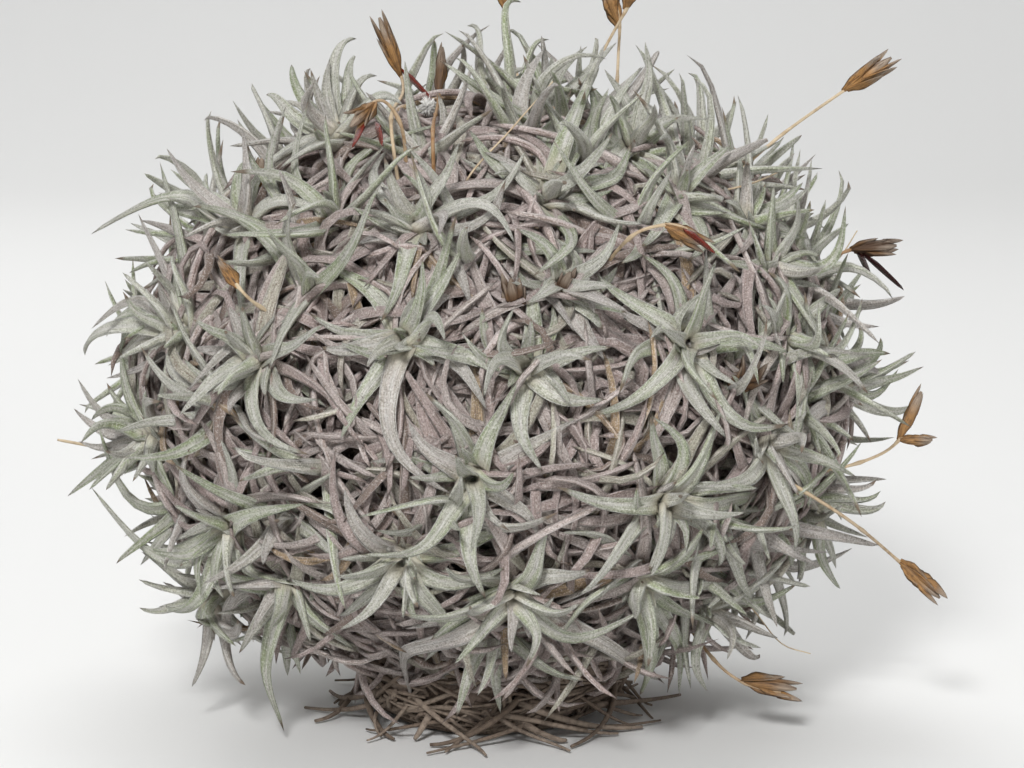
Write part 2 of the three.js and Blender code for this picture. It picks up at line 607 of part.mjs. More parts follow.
// A stalk is one skin: a wire that swells into its head, with a pointed bract on each side of one band.
function stalkSolid({ curve, length, neck, sideTip, bare }, seed) {
  const draw = drawer(seed);
  const steps = Math.max(4, Math.round((neck * length) / STALK_STEP));
  const stations = Array.from({ length: steps }, (_, i) => {
    return [(neck * i) / steps, THREE.MathUtils.lerp(STALK_RADIUS[0], STALK_RADIUS[1], i / steps)];
  });
  if (!bare) {
    stations.push([neck - TWIG_FOOT / length, STALK_RADIUS[1]], [neck, STALK_RADIUS[1]]);
    stations.push(...HEAD_RINGS.map(([share, radius]) => [neck + (1 - neck) * share, radius]));
  }
  const rough = curve.getPoint(1).sub(curve.getPoint(0));
  const flat = new THREE.Vector3(0.31, 0.53, 0.79).cross(rough).normalize();
  const frames = stations.map(([u, radius]) => {
    const along = curve.getTangentAt(u);
    const up = along.clone().cross(flat).normalize();
    return { centre: curve.getPointAt(u), along, up, across: up.clone().cross(along), radius };
  });
  const rings = frames.map(({ centre, across, up, radius }) => ring(centre, across, up, STALK_SIDES, radius));
  const points = rings.flat();
  const at = (i, j) => i * STALK_SIDES + (j % STALK_SIDES);
  const faces = [[0, 2, 1], [0, 3, 2]];
  for (let i = 1; i < rings.length; i++) {
    for (let j = 0; j < STALK_SIDES; j++) {
      const [a, b, c, d] = [at(i - 1, j), at(i - 1, j + 1), at(i, j + 1), at(i, j)];
      const bract = !bare && i === steps + 2 + BRACT_BAND;
      const twig = sideTip && i === steps + 1 && j === TWIG_SIDE;
      if (!bract && !twig) {
        faces.push([a, b, c], [a, c, d]);
        continue;
      }
      const { centre, along, across, up, radius } = frames[i];
      const turn = (2 * Math.PI * (j + 0.5)) / STALK_SIDES;
      const out = across.clone().multiplyScalar(Math.cos(turn)).addScaledVector(up, Math.sin(turn));
      const reach = draw(BRACT_REACH[0], BRACT_REACH[1]);
      const tip = centre.clone().addScaledVector(out, radius + reach * 0.5).addScaledVector(along, reach);
      const apex = points.push(twig ? sideTip : tip) - 1;
      faces.push([a, b, apex], [b, c, apex], [c, d, apex], [d, a, apex]);
    }
  }
  const last = rings.length - 1;
  const end = points.push(curve.getPoint(1)) - 1;
  for (let j = 0; j < STALK_SIDES; j++) faces.push([at(last, j), at(last, j + 1), end]);
  return skin(points, faces);
}

// The mat: a low lumpy pad with a flat foot, grown outwards by a clearance for the hollow that it sits in.
function matSolid(clearance) {
  const profile = [[0, 0], ...MAT_PROFILE, [0, MAT_PROFILE[MAT_PROFILE.length - 1][1]]];
  const points = profile.map(([x, z]) => {
    return new THREE.Vector2(x > 0 ? x + clearance : 0, z > 0 ? z + clearance : z - clearance);
  });
  const lathe = new THREE.LatheGeometry(points, MAT_SIDES);
  lathe.rotateX(Math.PI / 2);
  return solidOf(lathe, (p) => {
    const turn = Math.atan2(p.y, p.x);
    const swell = 1 + MAT_LUMP * Math.sin(3 * turn + p.z * 0.2) + (MAT_LUMP / 2) * Math.cos(8 * turn);
    return new THREE.Vector3(p.x * swell, p.y * swell, p.z);
  });
}

function rootMat() {
  const wires = roots.map((curve) => tube(curve, 3, ROOT_RADIUS[0], ROOT_RADIUS[1], 3));
  return largest(wasm.Manifold.union([matSolid(0), ...wires]));
}

// A dry leaf lies curled over the thatch, in one of its layers, with its foot sunk in the middle.
function dryLeaf(start, shell, draw) {
  const axis = outwardAt(start);
  const first = axis.clone().cross(new THREE.Vector3(draw(-1, 1), draw(-1, 1), draw(-1, 1))).normalize();
  const length = draw(DRY_LENGTH[0], DRY_LENGTH[1]);
  const width = draw(DRY_WIDTH[0], DRY_WIDTH[1]);
  const bow = draw(-8, 8);
  for (let turn = 0; turn < 2 * Math.PI; turn += 0.7) {
    const out = first.clone().applyAxisAngle(axis, turn);
    const side = axis.clone().cross(out);
    const centre = (t) => {
      const flat = start.clone().addScaledVector(out, length * (t - 0.5));
      flat.addScaledVector(side, bow * Math.sin(Math.PI * t));
      const sunk = CORE_SHELL - 0.02;
      return onShell(flat, sunk + (shell - sunk) * THREE.MathUtils.smoothstep(t, 0, 0.3));
    };
    const points = Array.from({ length: 13 }, (_, i) => ({ point: centre(i / 12), pad: width / 2 - 0.3 }));
    if (isClear("old_growth", points)) return dryBlade(centre, width, outwardAt);
  }
  return null;
}

// A leaf that hangs round the mat, moved on round it until it is clear of its neighbours.
function hangingLeaf(i, draw) {
  const width = draw(DRY_WIDTH[0], DRY_WIDTH[1]);
  for (let step = 0; step < 1.5; step += 0.25) {
    const turn = ((i + step) * 2 * Math.PI) / HANGING_LEAVES;
    const out = new THREE.Vector3(Math.cos(turn), Math.sin(turn), 0);
    const sweep = new THREE.Vector3(-out.y, out.x, 0).multiplyScalar(draw(-HANGING_SWEEP, HANGING_SWEEP));
    const places = HANGING_RINGS[i % 2].map(([radius, height], j) =>
      out.clone().multiplyScalar(radius).addScaledVector(sweep, (j * j) / 4).setZ(height + j * draw(-1, 1)),
    );
    const curve = new THREE.QuadraticBezierCurve3(...places);
    const points = curve.getPoints(12).map((point) => ({ point, pad: width / 2 - 0.3 }));
    if (isClear("old_growth", points)) return dryBlade((t) => curve.getPoint(t), width, () => out);
  }
  return null;
}

// A dry leaf's blade has three sides, with its back to the outside.
function dryBlade(centre, width, outAtPoint) {
  const rings = [0, 0.45].map((t) => {
    const point = centre(t);
    const up = outAtPoint(point);
    const across = up.clone().cross(centre(t + 0.05).sub(centre(t - 0.05))).normalize();
    const half = (width / 2) * (t > 0 ? 1 : 0.6);
    const corner = (x, y) => point.clone().addScaledVector(across, x).addScaledVector(up, y);
    return [corner(-half, -0.5), corner(half, -0.5), corner(0, DRY_HEIGHT - 0.5)];
  });
  return loft(rings, centre(1));
}

function oldGrowth() {
  const lump = ({ x, y, z }) => {
    return CORE_SHELL + CORE_LUMP * (Math.sin(7 * x + 2 * z) + Math.sin(6 * y - 3 * z) * Math.cos(5 * x));
  };
  const core = solidOf(new THREE.IcosahedronGeometry(1, CORE_DETAIL), (p) =>
    p.clone().multiplyScalar(lump(p)).multiply(HALF).add(MIDDLE),
  );
  const draw = drawer(401);
  const leaves = [];
  for (let i = 0; i < DRY_LEAVES; i++) {
    const rise = 1 - (2 * i + 1) / DRY_LEAVES;
    const level = Math.sqrt(1 - rise * rise);
    const start = new THREE.Vector3(level * Math.cos(i * GOLDEN_ANGLE), level * Math.sin(i * GOLDEN_ANGLE), rise);
    leaves.push(dryLeaf(start.multiply(HALF).add(MIDDLE), DRY_LEVELS[i % DRY_LEVELS.length], draw));
  }
  for (let i = 0; i < HANGING_LEAVES; i++) leaves.push(hangingLeaf(i, draw));
  const holes = rosettes.map(({ stem }) => {
    const way = new THREE.LineCurve3(stem.getPoint(0).addScaledVector(stem.getTangent(0), -GAP), stem.v2);
    const round = 1 / Math.cos(Math.PI / 5);
    return tube(way, 1, (STEM_RADIUS + GAP) * round, (ROW_RADII[1] + GAP) * round, 5);
  });
  const wireHoles = stalks.map(({ curve }) => {
    const start = curve.getPoint(0).addScaledVector(curve.getTangent(0), -GAP);
    const inside = [0.5, 1, 1.3].map((knot) => curve.getPoint(knot / (curve.points.length - 1)));
    const way = new THREE.CatmullRomCurve3([start, ...inside]);
    return tube(way, 3, STALK_RADIUS[0] + 2 * GAP, STALK_RADIUS[0] + 2 * GAP, 4);
  });
  const whole = wasm.Manifold.union([core, ...leaves.filter(Boolean)]);
  return largest(whole.subtract(wasm.Manifold.union([...holes, ...wireHoles, matSolid(GAP)])));
}

const clump = new THREE.Group();
clump.add(meshOf(oldGrowth(), "old_growth", THATCH));
clump.add(meshOf(rootMat(), "root_mat", ROOT_FIBRE));
for (const rosette of rosettes) clump.add(meshOf(rosetteSolid(rosette), rosette.name, FOLIAGE));
for (const [i, stalk] of stalks.entries()) clump.add(meshOf(stalkSolid(stalk, 501 + i), stalk.name, STRAW));

export default clump;
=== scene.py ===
import math

import bpy
import numpy as np
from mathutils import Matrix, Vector


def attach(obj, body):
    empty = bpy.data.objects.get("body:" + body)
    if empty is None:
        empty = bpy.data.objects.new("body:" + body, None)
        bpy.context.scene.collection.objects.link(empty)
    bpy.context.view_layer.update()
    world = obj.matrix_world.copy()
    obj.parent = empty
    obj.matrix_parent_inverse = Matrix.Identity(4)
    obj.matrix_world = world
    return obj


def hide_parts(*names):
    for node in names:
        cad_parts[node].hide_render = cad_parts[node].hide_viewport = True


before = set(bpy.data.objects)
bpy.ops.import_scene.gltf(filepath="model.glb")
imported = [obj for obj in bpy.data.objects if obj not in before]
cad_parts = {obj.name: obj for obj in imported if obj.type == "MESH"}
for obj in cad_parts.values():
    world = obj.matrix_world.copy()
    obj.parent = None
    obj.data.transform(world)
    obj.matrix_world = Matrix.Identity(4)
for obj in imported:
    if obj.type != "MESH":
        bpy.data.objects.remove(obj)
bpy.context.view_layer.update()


# The old middle of the clump
# Years of dead stems, packed into a dark, lumpy, egg-shaped ball that grew round the plant's first stems.
# Everything else is rooted in it, and hardly any of it shows between the dry leaves.
EGG_MIDDLE = np.array([0.0, 0.0, 0.072])
EGG_HALF = np.array([0.068, 0.062, 0.056])
BALL_SHELL = 0.885
BALL_LUMP = 0.012
BALL_ROWS = 72
BALL_COLUMNS = 144
BARK_DARK = (0.15, 0.11, 0.085)
BARK_LIGHT = (0.38, 0.30, 0.25)


class Values:
    """Numbers that vary over a surface. Python's operators on them add Math nodes to the finish."""

    def __init__(self, finish, socket):
        self.finish = finish
        self.socket = socket

    def math(self, operation, *values):
        return self.finish.node("ShaderNodeMath", {"operation": operation}, dict(enumerate(values)))

    def __add__(self, other):
        return self.math("ADD", self, other)

    def __sub__(self, other):
        return self.math("SUBTRACT", self, other)

    def __rsub__(self, other):
        return self.math("SUBTRACT", other, self)

    def __mul__(self, other):
        return self.math("MULTIPLY", self, other)

    def __abs__(self):
        return self.math("ABSOLUTE", self)

    __radd__ = __add__
    __rmul__ = __mul__

    def fract(self):
        return self.math("FRACT", self)

    def between(self, low, high):
        """0 below low, 1 above high, and an even slope between them, from 1 to 0 where low is the higher."""
        settings = {"clamp": True, "interpolation_type": "SMOOTHSTEP"}
        return self.finish.node("ShaderNodeMapRange", settings, {0: self, 1: low, 2: high})


class Finish:
    """A material that is built node by node on one Principled shader."""

    def __init__(self, name, **fixed):
        self.material = bpy.data.materials.new(name)
        self.material.use_nodes = True
        self.tree = self.material.node_tree
        self.shader = self.tree.nodes["Principled BSDF"]
        for socket, value in fixed.items():
            self.shader.inputs[socket.replace("_", " ")].default_value = value

    def node(self, kind, settings, inputs, output=0):
        """Adds a node: its settings first, then a value or a link for each socket. It gives one output."""
        made = self.tree.nodes.new(kind)
        for name, value in settings.items():
            setattr(made, name, value)
        for socket, value in inputs.items():
            self.feed(made.inputs[socket], value)
        return Values(self, made.outputs[output])

    def feed(self, socket, value):
        if isinstance(value, Values):
            self.tree.links.new(value.socket, socket)
        elif isinstance(value, tuple) and len(value) == 3 and socket.type == "RGBA":
            socket.default_value = (*value, 1)
        else:
            socket.default_value = value

    def place(self):
        """Where a point is in the piece's own way: across, along, and one number for each blade or fibre."""
        whole = self.node("ShaderNodeAttribute", {"attribute_name": "place"}, {}, output=1)
        return [self.node("ShaderNodeSeparateXYZ", {}, {0: whole}, output=i) for i in range(3)]

    def spot(self, x, y, z):
        return self.node("ShaderNodeCombineXYZ", {}, {0: x, 1: y, 2: z})

    def around(self):
        return self.node("ShaderNodeTexCoord", {}, {}, output=3)

    def noise(self, where, scale, detail=2.0, roughness=0.5):
        inputs = {"Vector": where, "Scale": scale, "Detail": detail, "Roughness": roughness}
        return self.node("ShaderNodeTexNoise", {}, inputs)

    def layered(self, colour, *layers):
        """A colour under layers. Each is a share from 0 to 1, and the colour that it mixes over the rest."""
        for share, over in layers:
            inputs = {0: share, 6: colour, 7: over}
            colour = self.node("ShaderNodeMix", {"data_type": "RGBA"}, inputs, output=2)
        return colour

    def coat(self, colour, roughness, height, depth):
        """Feeds the shader: its colour, its roughness, and a bump of some depth in metres."""
        inputs = {"Height": height, "Distance": depth, "Strength": 1.0}
        bump = self.node("ShaderNodeBump", {}, inputs)
        self.feed(self.shader.inputs["Base Color"], colour)
        self.feed(self.shader.inputs["Roughness"], roughness)
        self.feed(self.shader.inputs["Normal"], bump)
        return self.material


def shell_of(points):
    """How far out a point lies: its offset from the egg's middle, each axis divided by the egg's half."""
    return np.linalg.norm((points - EGG_MIDDLE) / EGG_HALF, axis=-1, keepdims=True)


def at_shell(points, shell):
    """Points moved to a given shell, straight towards the egg's middle or away from it."""
    return EGG_MIDDLE + (points - EGG_MIDDLE) / shell_of(points) * shell


def outward(points):
    """The direction straight out of the egg at a point: the gradient of its shell, at length 1."""
    slope = (points - EGG_MIDDLE) / EGG_HALF**2
    return slope / np.linalg.norm(slope, axis=-1, keepdims=True)


def skin(name, points, faces, places, finish, slot):
    """One smooth mesh object from whole arrays: points, faces by their number of corners, and places."""
    mesh = bpy.data.meshes.new(name)
    corners = np.concatenate([part.ravel() for part in faces])
    sizes = np.concatenate([np.full(len(part), part.shape[1]) for part in faces])
    mesh.vertices.add(len(points))
    mesh.vertices.foreach_set("co", points.astype(np.float32).ravel())
    mesh.loops.add(len(corners))
    mesh.loops.foreach_set("vertex_index", corners.astype(np.int32))
    mesh.polygons.add(len(sizes))
    mesh.polygons.foreach_set("loop_start", (np.cumsum(sizes) - sizes).astype(np.int32))
    mesh.polygons.foreach_set("use_smooth", np.ones(len(sizes), bool))
    mesh.update(calc_edges=True)
    layer = mesh.attributes.new("place", "FLOAT_VECTOR", "POINT")
    layer.data.foreach_set("vector", places.astype(np.float32).ravel())
    mesh.materials.append(finish)
    made = bpy.data.objects.new(name, mesh)
    bpy.context.scene.collection.objects.link(made)
    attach(made, "root")
    return made


def wrapped(rows, sides, bodies=1):
    """The faces of closed bodies: squares between each ring of points and the next, and a fan round the foot
    point and the tip point. Those two points come after a body's rings."""
    index = np.arange(rows * sides).reshape(rows, sides)
    beside = np.roll(index, -1, axis=1)
    quads = np.stack([index[:-1], beside[:-1], beside[1:], index[1:]], -1).reshape(-1, 4)
    foot = np.full(sides, rows * sides)
    fans = [np.stack([beside[0], index[0], foot], -1), np.stack([index[-1], beside[-1], foot + 1], -1)]
    start = (np.arange(bodies) * (rows * sides + 2))[:, None, None]
    return [(part + start).reshape(-1, part.shape[1]) for part in (quads, np.concatenate(fans))]


def ball(shell, lump):
    """A closed egg. Each point is the direction of its row and column, times the shell with sine lumps."""
    rows = np.linspace(math.pi, 0, BALL_ROWS + 1)[1:-1, None]
    columns = np.linspace(0, 2 * math.pi, BALL_COLUMNS, endpoint=False)[None]
    flat = np.sin(rows)
    way = np.stack([flat * np.cos(columns), flat * np.sin(columns), np.cos(rows) + 0 * columns], -1)
    way = np.concatenate([way.reshape(-1, 3), [[0, 0, -1], [0, 0, 1]]])
    x, y, z = way.T
    broad = np.sin(7 * x + 2 * z) + np.sin(6 * y - 3 * z) * np.cos(5 * x)
    swell = broad + 0.8 * np.sin(31 * x + 9 * z) * np.sin(27 * y)
    points = EGG_MIDDLE + way * EGG_HALF * (shell + lump * swell[:, None])
    return points, wrapped(len(rows), BALL_COLUMNS), way


def bark_finish():
    finish = Finish("old_stem_bark", Specular_IOR_Level=0.2)
    where = finish.around()
    broad = finish.noise(where, 160.0, 4.0)
    fine = finish.noise(where, 1400.0, 3.0)
    colour = finish.layered(BARK_DARK, (broad.between(0.35, 0.7), BARK_LIGHT))
    return finish.coat(colour, 0.95, broad + fine * 0.4, 0.0015)


bark = bark_finish()
old_middle = skin("old_middle", *ball(BALL_SHELL, BALL_LUMP), bark, "thatch")
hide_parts("old_growth")


# The dry leaves
# Several years of dead leaves that stay on the plant: rolled, channelled blades of mauve-grey paper, which
# curled as they dried. They spread from old hearts all round and lie over each other in a deep thatch.
GOLDEN_ANGLE = math.pi * (3 - math.sqrt(5))
OLD_HEARTS = 320
OLD_HEART_STRAY = 0.03
OLD_HEART_SHELL = (0.88, 0.95)
LEAVES_PER_HEART = 14
DRY_LENGTH = (0.024, 0.038)
DRY_WIDTH = (0.0029, 0.0041)
DRY_THICKNESS = 0.00105
DRY_GUTTER = (0.24, 0.52)
DRY_RISE = (0.5, 1.25)
DRY_FALL = (-1.5, 0.1)
DRY_ROLL = 0.55
DRY_TWIST = 1.4
DRY_LEVEL = (0.93, 1.04)
DRY_CEILING = (1.07, 1.1, 1.24)
HOLLOW_MIDDLE = np.array([-0.012, -0.006, 0.127])
HOLLOW_REACH = 0.03
HOLLOW_DEPTH = 0.22
DRY_WHIRL = 2.0
DRY_STRAY = 1.2
DRY_STATIONS = 9
# Corners round a blade: share across, share of the hollow's rise, share of the thickness.
DRY_RING = [(-1, 1, 0), (-0.5, 0.3, -0.5), (0.5, 0.3, -0.5), (1, 1, 0), (0.45, 0.24, 0.5), (-0.45, 0.24, 0.5)]
SOFTNESS = 60
START_SHELL = 0.8
THATCH_FLOOR = 0.0006
DRY_SECTORS = 8
MAUVE = (0.53, 0.425, 0.405)
ASH = (0.62, 0.54, 0.51)
UMBER = (0.25, 0.18, 0.14)
SAGE = (0.52, 0.52, 0.40)
BUFF = (0.52, 0.37, 0.22)
# The colour of the painted shade deep in the thatch.
DEPTH_SHADE = (0.33, 0.25, 0.205)
RUST = (0.36, 0.17, 0.07)
# Pale dust for the speckle, and the colour of the painted highlight on the dry leaves' edges.
PALE_DUST_AND_HIGHLIGHT = (0.90, 0.835, 0.79)


def eased(t, low, high):
    """0 below low, 1 above high, and a smooth step between them."""
    share = np.clip((t - low) / (high - low), 0, 1)
    return share * share * (3 - 2 * share)


def unit(vectors):
    return vectors / np.linalg.norm(vectors, axis=-1, keepdims=True)


def spread(count, stray, chances):
    """Directions spread evenly over a ball by the golden angle, each moved a little by chance."""
    spiral = np.arange(count)
    rise = 1 - (2 * spiral + 1) / count
    turn = spiral * GOLDEN_ANGLE
    way = np.stack([np.sqrt(1 - rise**2) * np.cos(turn), np.sqrt(1 - rise**2) * np.sin(turn), rise], -1)
    return unit(way + chances.normal(0, stray, way.shape))


def arc(knots, t):
    """Curves from their first knots to their last ones, drawn towards those between. A knot's share at t is
    its term of (1 - t) + t to a power, multiplied out."""
    last = len(knots) - 1
    t = t[:, None]
    return sum(math.comb(last, i) * (1 - t) ** (last - i) * t**i * knots[i][:, None] for i in range(last + 1))


def round_upright(turn):
    """The directions away from the upright axis, one for each turn about it, and those that lead round it."""
    out = np.stack([np.cos(turn), np.sin(turn), 0 * turn], -1)
    return out, np.stack([-out[:, 1], out[:, 0], 0 * turn], -1)


def across_at(axis):
    """Two directions across an axis, at right angles to it and to each other."""
    first = unit(np.cross(axis, np.array([0.2, 0.3, 0.9])))
    return first, np.cross(axis, first)


def pressed(line, shell, ceiling):
    """Lines whose points move to a given shell, or to the ceiling where that is lower, by a soft minimum."""
    lowered = -np.logaddexp(-SOFTNESS * shell, -SOFTNESS * ceiling) / SOFTNESS
    return at_shell(line, lowered)


def thrown(heart, turn, swing, rise, fall, length, level, ceiling, stations):
    """The lines of leaves. A leaf leaves its heart at a rise over the surface and a turn round it. Both
    change evenly along it, to the fall and by the swing, and its points are the running sum of its
    directions. A soft maximum of shells lifts it to its level, and it is pressed under its ceiling."""
    t = np.linspace(0, 1, stations)
    axis = outward(heart)
    first, second = across_at(axis)
    lift = (rise[:, None] + (fall - rise)[:, None] * t)[..., None]
    heading = (turn[:, None] + swing[:, None] * t)[..., None]
    flat = np.cos(heading) * first[:, None] + np.sin(heading) * second[:, None]
    way = np.cos(lift) * flat + np.sin(lift) * axis[:, None]
    step = (length / (stations - 1))[:, None, None]
    middle = (way[:, 1:] + way[:, :-1]) / 2 * step
    line = heart[:, None] + np.concatenate([np.zeros_like(middle[:, :1]), np.cumsum(middle, 1)], 1)
    reached = (level[:, None] * eased(t, 0, 0.25) + START_SHELL * (1 - eased(t, 0, 0.25)))[..., None]
    lifted = np.logaddexp(SOFTNESS * shell_of(line), SOFTNESS * reached) / SOFTNESS
    return pressed(line, lifted, ceiling[:, None, None])


def placed(across, along, chance):
    """The places of bodies: across and along at the rings, the foot and the tip, and a body's own chance."""
    one = np.concatenate([np.stack([across, along], -1), [[0, 0], [0, 1]]])
    return np.column_stack([np.tile(one, (len(chance), 1)), np.repeat(chance, len(one))])


def blades(line, side, width, thickness, gutter, ring, chance):
    """Closed skins of leaves. A ring of corners is carried along each line. A corner lies at its share of
    half the width across, raised by its shares of the gutter's depth and of the thickness."""
    leaves, stations = line.shape[:2]
    along = unit(np.gradient(line, axis=1))
    across = unit(side - along * np.sum(side * along, -1, keepdims=True))
    up = np.cross(along, across)
    x, hollow, thick = np.array(ring, float).T
    flat = across[:, :, None] * (x * width[..., None] / 2)[..., None]
    height = (gutter * width)[..., None] * hollow + thickness[..., None] * thick
    rings = line[:, :, None] + flat + up[:, :, None] * height[..., None]
    sides = len(ring)
    rings = rings[:, :-1].reshape(leaves, (stations - 1) * sides, 3)
    points = np.concatenate([rings, line[:, :1], line[:, -1:]], 1)
    t = np.repeat(np.linspace(0, 1, stations)[:-1], sides)
    places = placed(np.tile(x, stations - 1), t, chance)
    return points.reshape(-1, 3), wrapped(stations - 1, sides, leaves), places


def dry_skins(name, line, width, roll, chance, finish):
    """A mesh of dry leaves: widest near the foot, and turned more and more about their lines."""
    t = np.linspace(0, 1, line.shape[1])
    taper = (0.75 + 0.25 * (1 - t) ** 2) * (1 - t) ** 0.45
    along = unit(np.gradient(line, axis=1))
    flat = unit(np.cross(outward(line), along))
    up = np.cross(along, flat)
    angle = (roll[:, None] + chance[:, None] * DRY_TWIST * t)[..., None]
    side = flat * np.cos(angle) + up * np.sin(angle)
    breadth = width[:, None] * taper
    thickness = np.full_like(breadth, DRY_THICKNESS)
    gutter = np.broadcast_to(np.interp(chance, [0, 1], DRY_GUTTER)[:, None], breadth.shape)
    points, faces, places = blades(line, side, breadth, thickness, gutter, DRY_RING, chance)
    points[:, 2] = np.maximum(points[:, 2], THATCH_FLOOR)
    return skin(name, points, faces, places, finish, "thatch")


def dry_finish():
    """Mauve-grey paper, with ash-grey, umber, sage and buff leaves among it. It is streaked and peppered, and
    rusty in the depths. Its edges have a painted highlight, and painted shade darkens it towards the egg's
    middle."""
    finish = Finish("dry_leaf_paper", Specular_IOR_Level=0.25, Sheen_Weight=0.15)
    across, along, chance = finish.place()
    where = finish.around()
    streaks = finish.noise(finish.spot(across * 1.6, along * 0.9, chance * 91.0), 3.4, 3.0, 0.6)
    lines = finish.noise(finish.spot(across * 1.7, along * 0.9, chance * 57.0), 5.0, 3.0, 0.65)
    blotches = finish.noise(where, 420.0, 3.0, 0.6)
    speckle = finish.noise(where, 2700.0, 1.5, 0.6)
    kind = (chance * 7.31).fract()
    egg = {"Vector": where, "Location": tuple(-EGG_MIDDLE / EGG_HALF), "Scale": tuple(1 / EGG_HALF)}
    egg = finish.node("ShaderNodeMapping", {}, egg)
    shell = finish.node("ShaderNodeVectorMath", {"operation": "LENGTH"}, {0: egg}, output=1)
    rust = finish.noise(where, 75.0, 2.0).between(0.56, 0.68) * shell.between(1.06, 0.96)
    colour = finish.layered(
        MAUVE,
        (kind.between(0.35, 0.75), ASH),
        (kind.between(0.12, 0.02) * 0.85, UMBER),
        (kind.between(0.80, 0.86) * 0.8, SAGE),
        (kind.between(0.955, 0.965), BUFF),
        (streaks.between(0.5, 0.72) * 0.45, UMBER),
        (blotches.between(0.55, 0.8) * 0.4, UMBER),
        (lines.between(0.5, 0.65) * 0.72, UMBER),
        (speckle.between(0.47, 0.3) * 0.75, UMBER),
        (speckle.between(0.52, 0.7) * 0.55, PALE_DUST_AND_HIGHLIGHT),
        # Painted highlight: the rolled edges are painted paler, as if lit.
        (abs(across).between(0.75, 1.0) * 0.45, PALE_DUST_AND_HIGHLIGHT),
        (along.between(0.86, 1.0) * 0.5, UMBER),
        # Painted shade: the deeper a leaf lies in the thatch, the darker it is painted.
        (shell.between(0.99, 0.9) * 0.7, DEPTH_SHADE),
        (rust * 0.5, RUST),
    )
    return finish.coat(colour, 0.85, lines * 1.4 + speckle * 0.4, 0.0005)


paper = dry_finish()
chances = np.random.default_rng(7)
way = spread(OLD_HEARTS, OLD_HEART_STRAY, chances)
old_hearts = EGG_MIDDLE + way * EGG_HALF * chances.uniform(*OLD_HEART_SHELL, (OLD_HEARTS, 1))


def by_heart(values):
    """One value for each leaf, from one for each old heart."""
    return np.repeat(values, LEAVES_PER_HEART, axis=0)


hearts = by_heart(old_hearts)
count = len(hearts)
turns = np.tile(np.arange(LEAVES_PER_HEART) * GOLDEN_ANGLE, OLD_HEARTS) + chances.uniform(-0.3, 0.3, count)

# A shallow hollow, a bell curve of depth, is left in the thatch where three old stalks stand together.
hollow = HOLLOW_DEPTH * np.exp(-((np.linalg.norm(hearts - HOLLOW_MIDDLE, axis=1) / HOLLOW_REACH) ** 2))
dry_lines = thrown(
    hearts,
    turns + by_heart(chances.uniform(0, 6.3, OLD_HEARTS)),
    by_heart(chances.normal(0, DRY_WHIRL, OLD_HEARTS)) + chances.normal(0, DRY_STRAY, count),
    chances.uniform(*DRY_RISE, count),
    chances.uniform(*DRY_FALL, count),
    chances.uniform(*DRY_LENGTH, count),
    chances.uniform(*DRY_LEVEL, count) - hollow * 0.5,
    chances.triangular(*DRY_CEILING, count) - hollow,
    DRY_STATIONS,
)
dry_width = chances.uniform(*DRY_WIDTH, count)
dry_roll = chances.normal(0, DRY_ROLL, count)
dry_chance = chances.uniform(0, 1, count)
bearing = np.arctan2(hearts[:, 1], hearts[:, 0]) / (2 * math.pi) + 0.5
sector = np.floor(bearing * DRY_SECTORS * 0.9999).astype(int)
for part in range(DRY_SECTORS):
    own = sector == part
    name = f"dry_leaves_{part + 1}"
    dry_skins(name, dry_lines[own], dry_width[own], dry_roll[own], dry_chance[own], paper)


# The dry leaves that hang round the mat
# The lowest dead leaves droop from under the clump's rim, where they hid the foot of the clump.
HANGING_RINGS = [
    [(0.043, 0.042), (0.050, 0.028), (0.050, 0.012)],
    [(0.037, 0.036), (0.044, 0.022), (0.043, 0.009)],
    [(0.030, 0.032), (0.036, 0.017), (0.038, 0.005)],
    [(0.027, 0.028), (0.032, 0.012), (0.030, 0.002)],
]
HANGING_LEAVES = 44
HANGING_SWEEP = 0.02
HANGING_STRAY = 0.0025
HANGING_HEIGHT = (0.75, 1.35)
HANGING_CURL = 0.02
HANGING_KICK = 0.007
HANGING_DRIFT = 0.004
HANGING_ROLL = 1.2

hanging = []
t = np.linspace(0, 1, DRY_STATIONS)
for ring_number, places in enumerate(HANGING_RINGS):
    turn = (np.arange(HANGING_LEAVES) + ring_number * 0.3) * 2 * math.pi / HANGING_LEAVES
    turn = turn + chances.uniform(-0.15, 0.15, HANGING_LEAVES)
    out, sideways = round_upright(turn)
    sideways = sideways * chances.uniform(-1, 1, (HANGING_LEAVES, 1))
    knots = [
        out * radius
        + sideways * HANGING_SWEEP * j**1.5 / 2.8
        + out * chances.normal(0, HANGING_STRAY, (HANGING_LEAVES, 1)) * j
        + np.array([0, 0, height]) * chances.uniform(*HANGING_HEIGHT, (HANGING_LEAVES, 1))
        for j, (radius, height) in enumerate(places)
    ]
    curl = out * chances.normal(0, HANGING_KICK, (HANGING_LEAVES, 1)) + sideways * HANGING_DRIFT
    curl[:, 2] = chances.uniform(0, HANGING_CURL, HANGING_LEAVES)
    hanging.append(arc(knots, t) + curl[:, None] * t[:, None] ** 3)
hanging = np.concatenate(hanging)
count = len(hanging)
dry_skins(
    "hanging_leaves",
    hanging,
    chances.uniform(*DRY_WIDTH, count),
    chances.normal(0, HANGING_ROLL, count),
    chances.uniform(0, 1, count),
    paper,
)


# The root mat
# Old stem bases and wiry holdfast roots, matted together into a low foot. It grew against the bark it held.
MAT_ROWS = 44
MAT_COLUMNS = 128
MAT_LUMP = 0.05
